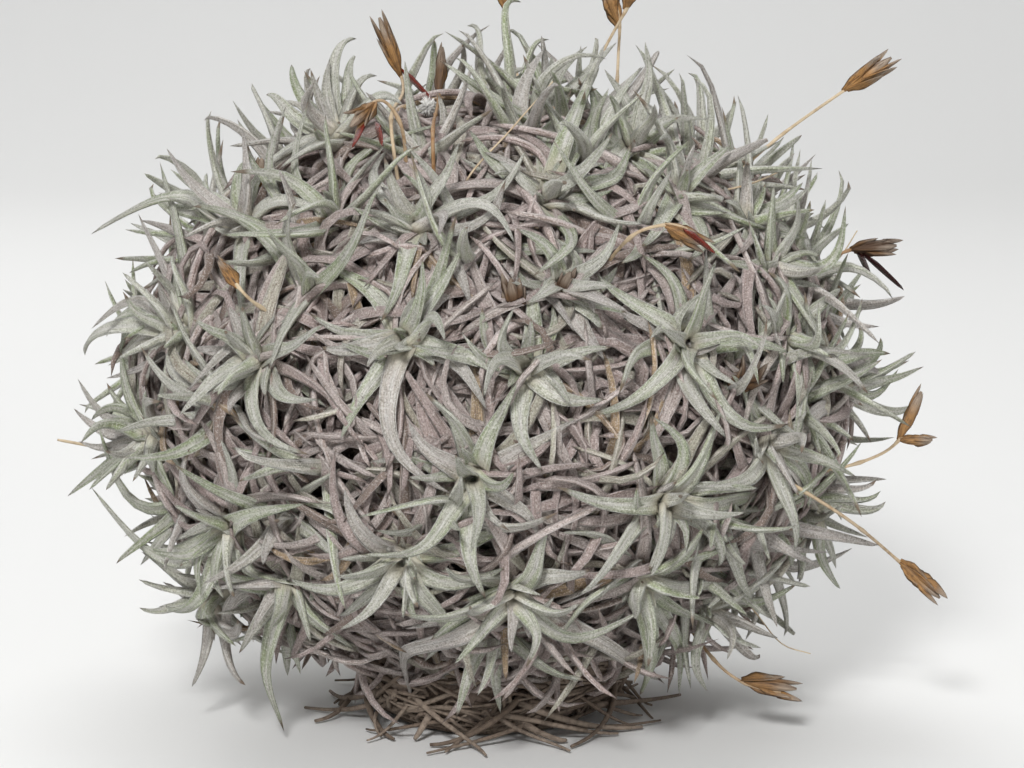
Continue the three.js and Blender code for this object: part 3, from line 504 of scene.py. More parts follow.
# Its radius and height, from the middle of the underside to the middle of the top.
MAT_PROFILE = [
    (0, 0),
    (0.0188, 0),
    (0.0248, 0.004),
    (0.0278, 0.012),
    (0.0268, 0.019),
    (0.0158, 0.025),
    (0, 0.025),
]
WOUND_ROOTS = 300
WOUND_HEIGHT = (0.001, 0.024)
WOUND_RANGE = (0.0008, 0.0245)
WOUND_TURN = 1.1
WOUND_CLIMB = 0.006
WOUND_WAVE = 0.0015
WOUND_DEPTH = (-0.0004, 0.0012)
CREEPING_ROOTS = 46
ROOT_SWEEP = 0.016
ROOT_THICKNESS = (0.00025, 0.0006)
HOLDFAST_THICKNESS = (0.0005, 0.001)
ROOT_STATIONS = 12
ROOT_SIDES = 6
ROOT_FLOOR = 0.0003
ROOT_BROWN = (0.16, 0.12, 0.09)
ROOT_TAN = (0.30, 0.24, 0.19)
ROOT_DARK = (0.07, 0.05, 0.04)


def mat(lump):
    """A closed turned body. Radius and height run evenly along the profile, and sines swell it in ridges."""
    radius, height = np.array(MAT_PROFILE).T
    run = np.concatenate([[0], np.cumsum(np.hypot(np.diff(radius), np.diff(height)))])
    at = np.linspace(0, run[-1], MAT_ROWS + 1)[1:-1, None]
    turn = np.linspace(0, 2 * math.pi, MAT_COLUMNS, endpoint=False)[None]
    r, z = np.interp(at, run, radius), np.interp(at, run, height)
    swell = 1 + lump * np.sin(3 * turn + z * 200) + lump * 0.5 * np.cos(8 * turn)
    ridges = lump * 0.3 * np.sin(37 * turn + 4 * np.sin(z * 500)) * np.sin(z * 900 + 2 * turn)
    r = r * (swell + np.where(z > 0.0002, ridges, 0))
    points = np.stack([r * np.cos(turn), r * np.sin(turn), z + 0 * turn], -1).reshape(-1, 3)
    points = np.concatenate([points, [[0, 0, height[0]], [0, 0, height[-1]]]])
    return points, wrapped(len(at), MAT_COLUMNS), points * 0


def rods(line, radius, sides, chance):
    """Closed round skins along lines: circles across each line, with a point at each end. The circles keep
    one reference direction, so a skin doesn't twist."""
    count, stations = line.shape[:2]
    along = unit(np.gradient(line, axis=1))
    reference = unit(np.cross(line[:, -1] - line[:, 0], np.array([0.31, 0.53, 0.79])))[:, None]
    across = unit(reference - along * np.sum(reference * along, -1, keepdims=True))
    up = np.cross(along, across)
    turn = 2 * math.pi * np.arange(sides) / sides
    circle = across[:, :, None] * np.cos(turn)[:, None] + up[:, :, None] * np.sin(turn)[:, None]
    rings = (line[:, :, None] + circle * radius[:, :, None, None]).reshape(count, -1, 3)
    points = np.concatenate([rings, line[:, :1], line[:, -1:]], 1)
    t = np.repeat(np.linspace(0, 1, stations), sides)
    places = placed(np.tile(np.cos(turn), stations), t, chance)
    return points.reshape(-1, 3), wrapped(stations, sides, count), places


def joined_skins(parts):
    """Several skins as one: the faces of each are counted on from the points of those before it."""
    starts = np.cumsum([0] + [len(points) for points, _, _ in parts])
    faces = [face + start for (_, group, _), start in zip(parts, starts) for face in group]
    return np.concatenate([part[0] for part in parts]), faces, np.concatenate([part[2] for part in parts])


def fibre_finish():
    finish = Finish("root_fibre", Specular_IOR_Level=0.3)
    chance = finish.place()[2]
    grain = finish.noise(finish.around(), 900.0, 4.0, 0.65)
    colour = finish.layered(ROOT_BROWN, (chance, ROOT_TAN), (grain.between(0.4, 0.7) * 0.6, ROOT_DARK))
    return finish.coat(colour, 0.85, grain, 0.0004)


fibre = fibre_finish()
root_mat = skin("root_mat_body", *mat(MAT_LUMP), bark, "roots")
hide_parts("root_mat")

# Roots that are wound over the mat: each goes round it and wanders up and down, on its profile.
t = np.linspace(0, 1, ROOT_STATIONS)
each_root = (WOUND_ROOTS, 1)
turn = chances.uniform(0, 2 * math.pi, each_root) + chances.normal(0, WOUND_TURN, each_root) * t
height = chances.uniform(*WOUND_HEIGHT, each_root) + chances.normal(0, WOUND_CLIMB, each_root) * t
height = height + chances.normal(0, WOUND_WAVE, each_root) * np.sin(7 * t)
height = np.clip(height, *WOUND_RANGE)
radius, level = np.array(MAT_PROFILE[1:-1]).T
reach = np.interp(height, level, radius) * (1.05 + 0.03 * np.sin(3 * turn + height * 200))
reach = reach + chances.uniform(*WOUND_DEPTH, each_root)
wound = np.stack([reach * np.cos(turn), reach * np.sin(turn), height], -1)
wound_thick = np.broadcast_to(chances.uniform(*ROOT_THICKNESS, each_root), height.shape)


def each(low, high):
    """A chance number for each creeping root."""
    return chances.uniform(low, high, (CREEPING_ROOTS, 1))


# Holdfast roots that creep from the mat over the floor, each over four knots.
turn = np.arange(CREEPING_ROOTS) * GOLDEN_ANGLE
out, sideways = round_upright(turn)
sweep = sideways * each(-1, 1) * ROOT_SWEEP
upward = np.array([0, 0, 1])
knots = [
    out * 0.025 - sweep * 0.8 + upward * each(0.003, 0.012),
    out * each(0.030, 0.032) - sweep * 0.3 + upward * each(0.002, 0.007),
    out * each(0.030, 0.034) + sweep * 0.6 + upward * 0.001,
    out * each(0.030, 0.040) + sweep * each(0.8, 1.6) + upward * 0.0008,
]
creeping = arc(knots, t)
creeping_thick = each(*HOLDFAST_THICKNESS) * np.linspace(1, 0.4, ROOT_STATIONS)
parts = [
    rods(lines, thick, ROOT_SIDES, chances.uniform(0, 1, len(lines)))
    for lines, thick in ((wound, wound_thick), (creeping, creeping_thick))
]
points, faces, places = joined_skins(parts)
points[:, 2] = np.maximum(points[:, 2], ROOT_FLOOR)
skin("holdfast_roots", points, faces, places, fibre, "roots")


# The living rosettes
# Each is a short stem with thick, channelled leaves in two ranks of eight and four, and a bud of young ones.
# The leaves are green under a coat of silver scales, cream where they clasp the stem, and some have dry tips.
ROSETTES = 44
LONG_RINGS = [0, 0.34, 0.68, 1]
SHORT_RINGS = [0, 0.34, 1]
SHARP_TIP = 0.8
LEAF_STATIONS = 14
LEAF_SHARE = 1.17
LEAF_TAPER = 0.72
LEAF_THICKNESS = (0.0019, 0.0006)
LEAF_GUTTER = (0.42, 0.36, 0.26)
LEAF_HOOK = 0.18
LEAF_BOW = 0.13
LEAF_TWIST = 0.5
YOUNG_STATIONS = 11
YOUNG_WIDTH = 0.85
YOUNG_SHARE = 0.45
FRONT_SHARE = 0.15
FRONT_SIDE = 0.05
FRONT_TOP = 0.11
LEAF_RING = [
    (-1, 1, 0),
    (-0.66, 0.5, -0.42),
    (0, 0, -0.55),
    (0.66, 0.5, -0.42),
    (1, 1, 0),
    (0.58, 0.4, 0.4),
    (0, 0, 0.5),
    (-0.58, 0.4, 0.4),
]
BUD_LEAVES = 6
BUD_LENGTH = (0.007, 0.014)
BUD_RISE = (0.75, 1.45)
BUD_WIDTH = 0.0038
BUD_BEND = 0.25
BUD_STATIONS = 8
BUD_DEPTH = 0.002
BUD_SPREAD = 0.0008
STEM_FOOT = 0.86
STEM_TOP = 0.0006
STEM_SIDES = 10
STEM_ALONG = 0.02
STEM_RADIUS = (0.0015, 0.0018, 0.0021, 0.0023, 0.0024, 0.0023, 0.0019, 0.001)
SILVER = (0.67, 0.65, 0.58)
GREEN = (0.38, 0.45, 0.235)
LILAC = (0.60, 0.52, 0.50)
MOSS = (0.19, 0.165, 0.11)
CREAM = (0.66, 0.61, 0.48)
# The white of the silver scales, also used for the painted highlights on the rims and middles of the leaves.
SCALE_WHITE_AND_HIGHLIGHT = (0.99, 0.975, 0.93)
DRY_TIP = (0.27, 0.18, 0.11)


def welded(node):
    """A solid's points, with doubles merged, and a table of true and false: which of them an edge joins."""
    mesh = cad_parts[node].data
    raw = np.zeros(len(mesh.vertices) * 3, np.float32)
    mesh.vertices.foreach_get("co", raw)
    corners = np.zeros(len(mesh.loops), np.int32)
    mesh.loops.foreach_get("vertex_index", corners)
    keys = np.round(raw.reshape(-1, 3) * 1e6).astype(np.int64)
    unique, inverse = np.unique(keys, axis=0, return_inverse=True)
    triangles = inverse.ravel()[corners].reshape(-1, 3)
    joined = np.zeros((len(unique), len(unique)), bool)
    joined[triangles, np.roll(triangles, 1, axis=1)] = True
    return unique / 1e6, joined | joined.T


def rings_of(points, joined, tip):
    """The rings of four corners down a leaf, from the one under its tip to its foot. A ring's edges are
    joined to one corner of the ring below, and its keel and channel to three. The channel is nearer to the
    edges."""
    top = np.flatnonzero(joined[tip])
    below = joined[top].sum(1) - joined[np.ix_(top, top)].sum(1) - 1
    edges, spine = top[below == 1], top[below == 3]
    middle = points[edges].mean(0)
    spine = spine[np.argsort(np.linalg.norm(points[spine] - middle, axis=1))[::-1]]
    up = points[spine[1]] - points[spine[0]]
    rightward = np.cross(up, points[tip] - middle)
    edges = edges[np.argsort((points[edges] - middle) @ rightward)]
    rings = [np.array([spine[0], edges[1], spine[1], edges[0]])]
    used = {tip, *top}
    while len(rings) < 3:
        free = [set(np.flatnonzero(joined[corner])) - used for corner in rings[-1]]
        right, left = free[1], free[3]
        keel, channel = free[0] - right - left, free[2] - right - left
        if not all(len(found) == 1 for found in (keel, right, channel, left)):
            break
        rings.append(np.array([found.pop() for found in (keel, set(right), channel, set(left))]))
        used |= set(rings[-1])
    return rings


def through(points, knots, t):
    """The one polynomial that passes through each point at its knot: a sum of the points, each times a
    product that is 1 at its own knot and 0 at the others."""
    share = []
    for own in knots:
        share.append(np.prod([(t - other) / (own - other) for other in knots if other != own], axis=0))
    return np.einsum("ks,nkc->nsc", np.array(share), points)


def leaves_of(node):
    """The leaves of a rosette's solid, long ones and short ones: points of their lines, sides, and widths."""
    points, joined = welded(node)
    found = {4: [], 3: []}
    for tip in np.flatnonzero(joined.sum(1) == 4):
        top = np.flatnonzero(joined[tip])
        breadth = np.linalg.norm(points[top][:, None] - points[top], axis=-1).max()
        if breadth > SHARP_TIP * np.linalg.norm(points[top] - points[tip], axis=1).min():
            continue
        rings = rings_of(points, joined, tip)[::-1]
        middles = [points[ring[[0, 2]]].mean(0) for ring in rings[1:]]
        centres = [points[rings[0]].mean(0), *middles, points[tip]]
        sides = [unit(points[ring[1]] - points[ring[3]]) for ring in rings]
        width = np.linalg.norm(points[rings[1][1]] - points[rings[1][3]])
        found[len(centres)].append((np.array(centres), np.array([*sides, sides[-1]]), width))
    return found[4], found[3]


def leaf_finish():
    """Silver scales over green: thick along the edges, worn to green on the flanks and in streaks, and
    peppered where the scales have gaps. The edges' pale rim is partly painted highlight, and the whiter
    middle band is painted highlight. Ageing leaves turn lilac grey, and some tips are dry."""
    finish = Finish("scurfy_leaf", Specular_IOR_Level=0.45, Sheen_Weight=0.1)
    across, along, chance = finish.place()
    where = finish.around()
    streaks = finish.noise(finish.spot(across * 1.5, along * 0.8, chance * 83.0), 3.6, 3.0, 0.55)
    lines = finish.noise(finish.spot(across * 2.3, along * 0.7, chance * 47.0), 5.0, 3.0, 0.65)
    clouds = finish.noise(where, 140.0, 2.0)
    speckle = finish.noise(where, 2600.0, 2.0, 0.6)
    # The pale rim is partly the silver margin of the leaves and partly painted highlight.
    rim_and_highlight = abs(across).between(0.8, 1.0) * 0.5
    # Painted highlight: the middle of each leaf is painted whiter, where light falls on its rounded back.
    crest_highlight = abs(across).between(0.3, 0.0) * 0.3
    flank = abs(across).between(0.2, 0.6) * 0.35
    green = flank + streaks.between(0.42, 0.66) * 0.6 + clouds.between(0.42, 0.7) * 0.5
    young = (chance * 5.77).fract()
    ageing = (chance * 3.19).fract().between(0.7, 0.92)
    dry = (chance * 11.3).fract()
    tip = (along - (1.01 - dry * dry * dry * 0.12)).between(-0.05, 0.01)
    colour = finish.layered(
        SILVER,
        (green * (young + 0.25), GREEN),
        (ageing * 0.8, LILAC),
        (lines.between(0.46, 0.3) * 0.7, MOSS),
        (lines.between(0.5, 0.68) * 0.6, SCALE_WHITE_AND_HIGHLIGHT),
        (speckle.between(0.46, 0.3) * 0.6, MOSS),
        (speckle.between(0.5, 0.68) * 0.55, SCALE_WHITE_AND_HIGHLIGHT),
        (rim_and_highlight + crest_highlight, SCALE_WHITE_AND_HIGHLIGHT),
        (along.between(0.22, 0.03) * 0.8, CREAM),
        (tip * 0.85, DRY_TIP),
    )
    return finish.coat(colour, 0.52, lines * 1.4 + speckle * 0.4, 0.0006)


def living(line, side, width, chances):
    """The skins of living leaves: thick, and rolled into a channel that opens towards the tip. Each has a
    chance bow and hook to one side, as shares of its reach, and a chance twist. The width falls from the
    clasping foot to a fine point, as a power of what is left of the length."""
    leaves, stations = line.shape[:2]
    t = np.linspace(0, 1, stations)
    hook = chances.normal(0, LEAF_HOOK, (leaves, 1, 1)) * (eased(t, 0.35, 1.15) ** 2)[:, None]
    bow = chances.normal(0, LEAF_BOW, (leaves, 1, 1)) * np.sin(math.pi * t)[:, None]
    reach = np.linalg.norm(line[:, -1:] - line[:, :1], axis=-1, keepdims=True)
    line = line + side * (hook + bow) * reach
    along = unit(np.gradient(line, axis=1))
    angle = chances.normal(0, LEAF_TWIST, (leaves, 1, 1)) * t[:, None]
    side = side * np.cos(angle) + np.cross(along, side) * np.sin(angle)
    breadth = width[:, None] * (1 - t) ** LEAF_TAPER
    thickness = np.broadcast_to(np.interp(t, [0, 1], LEAF_THICKNESS), breadth.shape)
    gutter = np.broadcast_to(np.interp(t, [0, 0.35, 1], LEAF_GUTTER), breadth.shape)
    return blades(line, side, breadth, thickness, gutter, LEAF_RING, chances.uniform(0, 1, leaves))


def raised(start, axis, out, length, rise, fall, stations):
    """Lines that leave their start at a rise from the outward direction to the axis, and bend to the fall.
    They are arcs over the ends of two straight halves, one at the rise and one at the fall, and they come
    with the directions of their sides."""
    first, last = (axis * np.sin(angle[:, None]) + out * np.cos(angle[:, None]) for angle in (rise, fall))
    belly = start + length[:, None] * first * 0.5
    end = belly + length[:, None] * last * 0.5
    line = arc([start, belly, end], np.linspace(0, 1, stations))
    return line, np.broadcast_to(np.cross(axis, out)[:, None], line.shape)


scurf = leaf_finish()
living_hearts = []
for number in range(1, ROSETTES + 1):
    node = f"rosette_{number:02d}"
    chances = np.random.default_rng(1000 + number)
    long_leaves, short_leaves = leaves_of(node)
    heart = np.mean([leaf[0][0] for leaf in [*long_leaves, *short_leaves]], axis=0)
    axis = outward(heart)
    first, second = across_at(axis)
    in_front = heart[1] < 0 and abs(heart[0]) < FRONT_SIDE and heart[2] < FRONT_TOP
    young_share = FRONT_SHARE if in_front else YOUNG_SHARE
    parts = []
    for found, knots in ((long_leaves, LONG_RINGS), (short_leaves, SHORT_RINGS)):
        if not found:
            continue
        centres, sides, widths = (np.array(values) for values in zip(*found))
        t = np.linspace(0, 1, LEAF_STATIONS)
        share = np.array([np.interp(t, knots, own) for own in np.eye(len(knots))])
        side = unit(np.einsum("ks,nkc->nsc", share, sides))
        parts.append(living(through(centres, knots, t), side, widths * LEAF_SHARE, chances))

        # A younger leaf stands between some neighbours.
        reach = centres[:, -1] - heart
        order = np.argsort(np.arctan2(reach @ second, reach @ first))
        between = (centres[order] + centres[np.roll(order, -1)]) / 2
        between = between[:, :1] + (between - between[:, :1]) * chances.uniform(0.7, 1.1, (len(order), 1, 1))
        kept = chances.uniform(0, 1, len(order)) < young_share
        between, order = between[kept], order[kept]
        out = between[:, -1] - between[:, 0]
        out = unit(out - axis * (out @ axis)[:, None] + first * 1e-6)
        side = np.broadcast_to(np.cross(axis, out)[:, None], (len(order), YOUNG_STATIONS, 3))
        line = through(between, knots, np.linspace(0, 1, YOUNG_STATIONS))
        parts.append(living(line, side, widths[order] * LEAF_SHARE * YOUNG_WIDTH, chances))

    # The bud of young leaves, and the stem that all of them clasp.
    turn = np.arange(BUD_LEAVES) * GOLDEN_ANGLE + chances.uniform(-0.3, 0.3, BUD_LEAVES)
    out = np.cos(turn)[:, None] * first + np.sin(turn)[:, None] * second
    length = np.linspace(BUD_LENGTH[1], BUD_LENGTH[0], BUD_LEAVES) * chances.uniform(0.8, 1.2, BUD_LEAVES)
    rise = np.linspace(*BUD_RISE, BUD_LEAVES)
    start = heart - axis * BUD_DEPTH + out * BUD_SPREAD
    line, side = raised(start, axis, out, length, rise, rise - BUD_BEND, BUD_STATIONS)
    parts.append(living(line, side, np.full(BUD_LEAVES, BUD_WIDTH), chances))
    foot = EGG_MIDDLE + (heart - EGG_MIDDLE) * STEM_FOOT
    top = heart - axis * STEM_TOP
    line = foot + (top - foot) * np.linspace(0, 1, len(STEM_RADIUS))[:, None]
    points, faces, places = rods(line[None], np.array([STEM_RADIUS]), STEM_SIDES, chances.uniform(0, 1, 1))

    # The stem is as cream as the foot of a leaf.
    places[:, 1] = STEM_ALONG
    parts.append((points, faces, places))
    rosette = skin(f"leaves_{number:02d}", *joined_skins(parts), scurf, "leaves")
    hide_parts(node)
    living_hearts.append(heart)
living_hearts = np.array(living_hearts)

# Small side shoots stand between the rosettes. There are fewer on the front, where the thatch shows, and
# none in the hollow.
SHOOTS = 165
SHOOT_LEAVES = 8
SHOOT_STRAY = 0.05
SHOOT_SHELL = (0.97, 1.02)
SHOOT_LEAN = 0.25
SHOOT_RISE = (0.25, 1.3)
SHOOT_BEND = (-0.3, 0.9)
SHOOT_LENGTH = (0.022, 0.034)
SHOOT_WIDTH = (0.0037, 0.0050)
SHOOT_CEILING = 1.37
SHOOT_ROOM = 0.0125
SHOOT_LIFT = (-0.002, 0.007)
LOWEST_SHOOT = -0.8
FACE_SIDE = 0.6
FACE_TOP = 0.4
FACE_SHARE = 0.12
HOLLOW_ROOM = 0.017
chances = np.random.default_rng(55)
way = spread(SHOOTS, SHOOT_STRAY, chances)
starts = EGG_MIDDLE + way * EGG_HALF * chances.uniform(*SHOOT_SHELL, (SHOOTS, 1))
room = np.linalg.norm(starts[:, None] - living_hearts, axis=-1).min(1)
face = (way[:, 1] < 0) & (abs(way[:, 0]) < FACE_SIDE) & (way[:, 2] < FACE_TOP)
in_hollow = np.linalg.norm(starts - HOLLOW_MIDDLE, axis=-1) < HOLLOW_ROOM
shown = ~face | (chances.uniform(0, 1, SHOOTS) < FACE_SHARE)
kept = (room > SHOOT_ROOM) & (way[:, 2] > LOWEST_SHOOT) & shown & ~in_hollow
starts = np.repeat(starts[kept], SHOOT_LEAVES, axis=0)
count = len(starts)
lean = np.repeat(chances.normal(0, SHOOT_LEAN, (kept.sum(), 3)), SHOOT_LEAVES, axis=0)
axis = unit(outward(starts) + lean)
first, second = across_at(axis)
turn = (np.arange(count) * GOLDEN_ANGLE + chances.uniform(-0.4, 0.4, count))[:, None]
out = np.cos(turn) * first + np.sin(turn) * second
rise = np.tile(np.linspace(*SHOOT_RISE, SHOOT_LEAVES), kept.sum()) + chances.normal(0, 0.1, count)
length = chances.uniform(*SHOOT_LENGTH, count) * (1.1 - 0.35 * rise / SHOOT_RISE[1])
fall = rise - chances.uniform(*SHOOT_BEND, count)
line, side = raised(starts + out * BUD_SPREAD, axis, out, length, rise, fall, YOUNG_STATIONS)
line[..., 2] += chances.uniform(*SHOOT_LIFT, (count, 1)) * np.linspace(0, 1, YOUNG_STATIONS) ** 2
line = pressed(line, shell_of(line), SHOOT_CEILING)
skin("side_shoots", *living(line, side, chances.uniform(*SHOOT_WIDTH, count), chances), scurf, "leaves")

# Under each rosette its oldest leaves have withered and bent back over the thatch.
WITHERED_LEAVES = 11
WITHERED_LENGTH = (0.024, 0.036)
WITHERED_WIDTH = (0.0034, 0.0047)
WITHERED_WHIRL = 1.4
WITHERED_ROLL = 0.5
WITHERED_RISE = (0.1, 0.8)
WITHERED_FALL = (-1.3, -0.3)
WITHERED_LEVEL = (0.985, 1.06)
WITHERED_CEILING = 1.13
WITHERED_DEPTH = 0.003
chances = np.random.default_rng(77)
hearts = living_hearts - outward(living_hearts) * WITHERED_DEPTH
hearts = np.repeat(hearts, WITHERED_LEAVES, axis=0)
count = len(hearts)
turns = np.tile(np.arange(WITHERED_LEAVES) * GOLDEN_ANGLE, ROSETTES) + chances.uniform(-0.3, 0.3, count)
lines = thrown(
    hearts,
    turns,
    chances.normal(0, WITHERED_WHIRL, count),
    chances.uniform(*WITHERED_RISE, count),
    chances.uniform(*WITHERED_FALL, count),
    chances.uniform(*WITHERED_LENGTH, count),
    chances.uniform(*WITHERED_LEVEL, count),
    np.full(count, WITHERED_CEILING),
    DRY_STATIONS + 2,
)
dry_skins(
    "withered_leaves",
    lines,
    chances.uniform(*WITHERED_WIDTH, count),
    chances.normal(0, WITHERED_ROLL, count),
    chances.uniform(0, 1, count),
    paper,
)


# The dry flower stalks
# Last year's stalks: straw wires out of the thatch, each with one or two spikes of papery bracts in two
# ranks. Some capsules have split: their glossy dark red valves hang open, and one still holds seed silk.
EYE_RISE = math.radians(9)
EYE_DISTANCE = 0.75
EYE_WAY = EYE_DISTANCE * np.array([0, -math.cos(EYE_RISE), math.sin(EYE_RISE)])
EYE = EGG_MIDDLE + EYE_WAY
STALK_FOOT = 0.82
STALK_MOUTH = 0.97
STALK_SHELL = 1.12
HEAD_LENGTH = 0.014
WIRE_RADIUS = (0.00044, 0.00032, 0.00025)
WIRE_IN_HEAD = 0.6
WIRE_STATIONS = 40
WIRE_SIDES = 8
KNUCKLES = np.array([0.45, 0.75, 1])
KNUCKLE_SWELL = 0.5
KNUCKLE_LENGTH = 0.0011
CORE_RADIUS = 0.0009
CORE_SHARE = 0.8
CORE_STATIONS = 9
BRACT_STATIONS = 9
BRACT_THICKNESS = 0.0003
BRACT_LENGTH = (0.5, 0.62)
BRACT_WIDTH = 0.0034
BRACT_GUTTER = 0.42
BRACT_BLUNT = 0.8
BRACT_SHARE = 0.45
VALVE_WIDTH = 0.0030
VALVE_GUTTER = 0.35
VALVE_BLUNT = 0.45
VALVE_OPEN = 0.15
VALVE_LEAN = 0.009
SILK_STALK = 7
STRAW = (0.66, 0.53, 0.36)
STRAW_BROWN = (0.30, 0.15, 0.055)
BRACT_TAN = (0.47, 0.25, 0.085)
BRACT_BROWN = (0.075, 0.04, 0.022)
BRACT_PAPER = (0.37, 0.31, 0.25)
VALVE_RED = (0.22, 0.022, 0.010)
VALVE_DARK = (0.03, 0.008, 0.008)
# Each stalk as seen from the front, in millimetres: its way to the tip of its head, with shells where they
# aren't the common one, how many bracts it has, how far they open, and how dark and slim they are. Some have
# a second head to the side, a head length of their own in metres, a place further back, or open valves, each
# from its foot to its tip.
STALKS = [
    dict(way=[(45, 37), (62, 53), (76, 63), (89, 72)], bracts=8, open=0.34, dark=0.1, slim=0.75),
    dict(
        way=[(58, 17), (70, 25), (78, 29), (90, 30)],
        valves=[((80, 28), (88, 19)), ((79, 28), (81, 22))],
        bracts=7, open=0.3, dark=0.85, slim=0.8, head=0.012,
    ),
    dict(way=[(57, -15), (74, -27, 1.25), (89, -39), (99, -48)], bracts=7, open=0.16, dark=0.35),
    dict(
        way=[(70, -23), (82, -16), (88, -12), (94, 1)],
        side=(97, -12), bracts=5, open=0.1, dark=0.35, slim=0.65,
    ),
    dict(way=[(45, -54), (51, -62), (60, -66), (69, -66)], bracts=6, open=0.3, dark=0.5),
    dict(
        way=[(27, 27), (33, 33, 1.3), (41, 34, 1.34), (49, 29, 1.34)],
        valves=[((42, 33), (48, 27))],
        bracts=5, open=0.26, dark=0.35, slim=0.8, head=0.011,
    ),
    dict(
        way=[(-21, 43), (-21, 55, 1.2), (-19, 66), (-25, 82)],
        valves=[((-19.2, 67.5), (-13.3, 59.7))],
        bracts=6, open=0.2, dark=0.3, slim=0.65, head=0.0165,
    ),
    dict(way=[(-13, 43), (-12, 52, 1.2), (-11, 62), (-10, 75)], bracts=3, open=0.04, dark=0.75, slim=0.7),
    dict(
        way=[(-20, 47), (-19, 56, 1.25), (-23, 61, 1.35), (-31, 54, 1.38)],
        valves=[((-26.5, 58), (-30.5, 51.5)), ((-24.5, 56), (-24, 51))],
        bracts=5, open=0.5, dark=0.5, slim=0.75, head=0.0105,
    ),
    dict(
        way=[(-48, 14), (-51, 18, 1.2), (-53, 20, 1.24), (-59, 28, 1.26)],
        bracts=4, open=0.05, dark=0.2, slim=0.85, head=0.0105,
    ),
    dict(way=[(17, 50), (24, 70), (31, 83), (35, 93)], back=7, bracts=6, open=0.25, dark=0.3),
    dict(way=[(27, 48), (28, 70), (28, 80), (24, 90)], back=13, bracts=6, open=0.25, dark=0.3),
    dict(way=[(10, 50), (5, 68), (3, 83), (2, 93)], back=27, bracts=6, open=0.25, dark=0.3),
    dict(way=[(-62, -20), (-76, -15), (-93, -12)], bracts=0),
]


def in_view(right, up):
    """A point of the upright plane through the egg's middle that faces the eye, from millimetres."""
    return np.array([right, up * math.sin(EYE_RISE), up * math.cos(EYE_RISE)]) / 1000


def seen(right, up, shell=STALK_SHELL, back=0):
    """The point where the eye's sight line to a point in view first meets a shell, or comes nearest to it:
    the smaller root of the shell's quadratic along that line. It is moved back after that."""
    way = in_view(right, up) - EYE_WAY
    a = (way / EGG_HALF) @ (way / EGG_HALF)
    b = (EYE_WAY / EGG_HALF) @ (way / EGG_HALF)
    c = (EYE_WAY / EGG_HALF) @ (EYE_WAY / EGG_HALF) - shell**2
    return EYE + way * (-b - math.sqrt(max(0, b * b - a * c))) / a + np.array([0, back / 1000, 0])


def beside(right, up, near):
    """The point on the sight line to (right, up) that is as deep in the view as a point near it."""
    way = in_view(right, up) - EYE_WAY
    return EYE + way * ((near - EYE) @ EYE_WAY) / (way @ EYE_WAY)


def wire(points, stations):
    """A smooth line through points: cubic stretches, whose slopes weigh the gaps before and after them by the
    square roots of their lengths. Its stations are even along it. It gives the line and its length."""
    points = np.concatenate([[2 * points[0] - points[1]], points, [2 * points[-1] - points[-2]]])
    gaps = np.sqrt(np.linalg.norm(np.diff(points, axis=0), axis=1))
    stretches = len(points) - 3
    a, b, c, d = (points[i : i + stretches, None] for i in range(4))
    before, own, after = (gaps[i : i + stretches, None, None] for i in range(3))
    start = ((b - a) / before - (c - a) / (before + own) + (c - b) / own) * own
    end = ((c - b) / own - (d - b) / (own + after) + (d - c) / after) * own
    t = np.linspace(0, 1, 30)[:, None]
    curved = (3 * c - 3 * b - 2 * start - end) * t**2 + (2 * b - 2 * c + start + end) * t**3
    line = np.concatenate([(b + start * t + curved)[:, :-1].reshape(-1, 3), points[-2:-1]])
    run = np.concatenate([[0], np.cumsum(np.linalg.norm(np.diff(line, axis=0), axis=1))])
    at = np.linspace(0, run[-1], stations)
    return np.stack([np.interp(at, run, line[:, axis]) for axis in range(3)], -1), run[-1]


def scales(base, along, out, length, opening, width, rolled, blunt, chance):
    """Boat-shaped bracts or valves. Each leaves its base forwards and opens outwards, by an angle that grows
    along it. It is widest at two fifths of its length, and then narrows as a power of 1 less the square of
    its length. Its edges are rolled in over its hollow side."""
    line, side = raised(base, out, along, length, opening * 0.4, opening, BRACT_STATIONS)
    t = np.linspace(0, 1, BRACT_STATIONS)
    breadth = width[:, None] * (0.35 + 0.65 * eased(t, 0, 0.4)) * (1 - t**2) ** blunt
    thickness = np.full_like(breadth, BRACT_THICKNESS)
    gutter = np.full_like(breadth, rolled)
    return blades(line, side, breadth, thickness, gutter, LEAF_RING, chance)


def straw_finish():
    """Straw wires below 0.3 of chance; bracts from 0.4 to 0.8, the higher the darker, brown at their feet and
    papery grey at their tips; and lacquer-red valves above 0.85."""
    finish = Finish("dry_straw", Specular_IOR_Level=0.45)
    across, along, chance = finish.place()
    grain = finish.noise(finish.spot(across * 4.0, along * 0.9, chance * 61.0), 5.0, 3.0, 0.6)
    blotches = finish.noise(finish.around(), 520.0, 3.0, 0.6)
    brown = blotches.between(0.45, 0.7) * 0.4 + chance.between(0.05, 0.25) * 0.8
    edges = grain.between(0.5, 0.64) * 0.75 + abs(across).between(0.8, 1.0) * 0.55
    bract = finish.layered(
        BRACT_TAN,
        (chance.between(0.4, 0.8), BRACT_BROWN),
        (blotches.between(0.45, 0.75) * 0.6, BRACT_BROWN),
        (along.between(0.45, 0.85) * (1.35 - chance), BRACT_PAPER),
        (edges, BRACT_BROWN),
    )
    dark = grain.between(0.4, 0.7) + chance.between(0.9, 0.98)
    valve = finish.layered(VALVE_RED, (dark, VALVE_DARK))
    is_bract = chance.between(0.33, 0.36)
    is_valve = chance.between(0.82, 0.84)
    colour = finish.layered(STRAW, (brown, STRAW_BROWN), (is_bract, bract), (is_valve, valve))
    return finish.coat(colour, 0.6 - is_valve * 0.42, grain * 0.6 + blotches * 0.5, 0.00025)


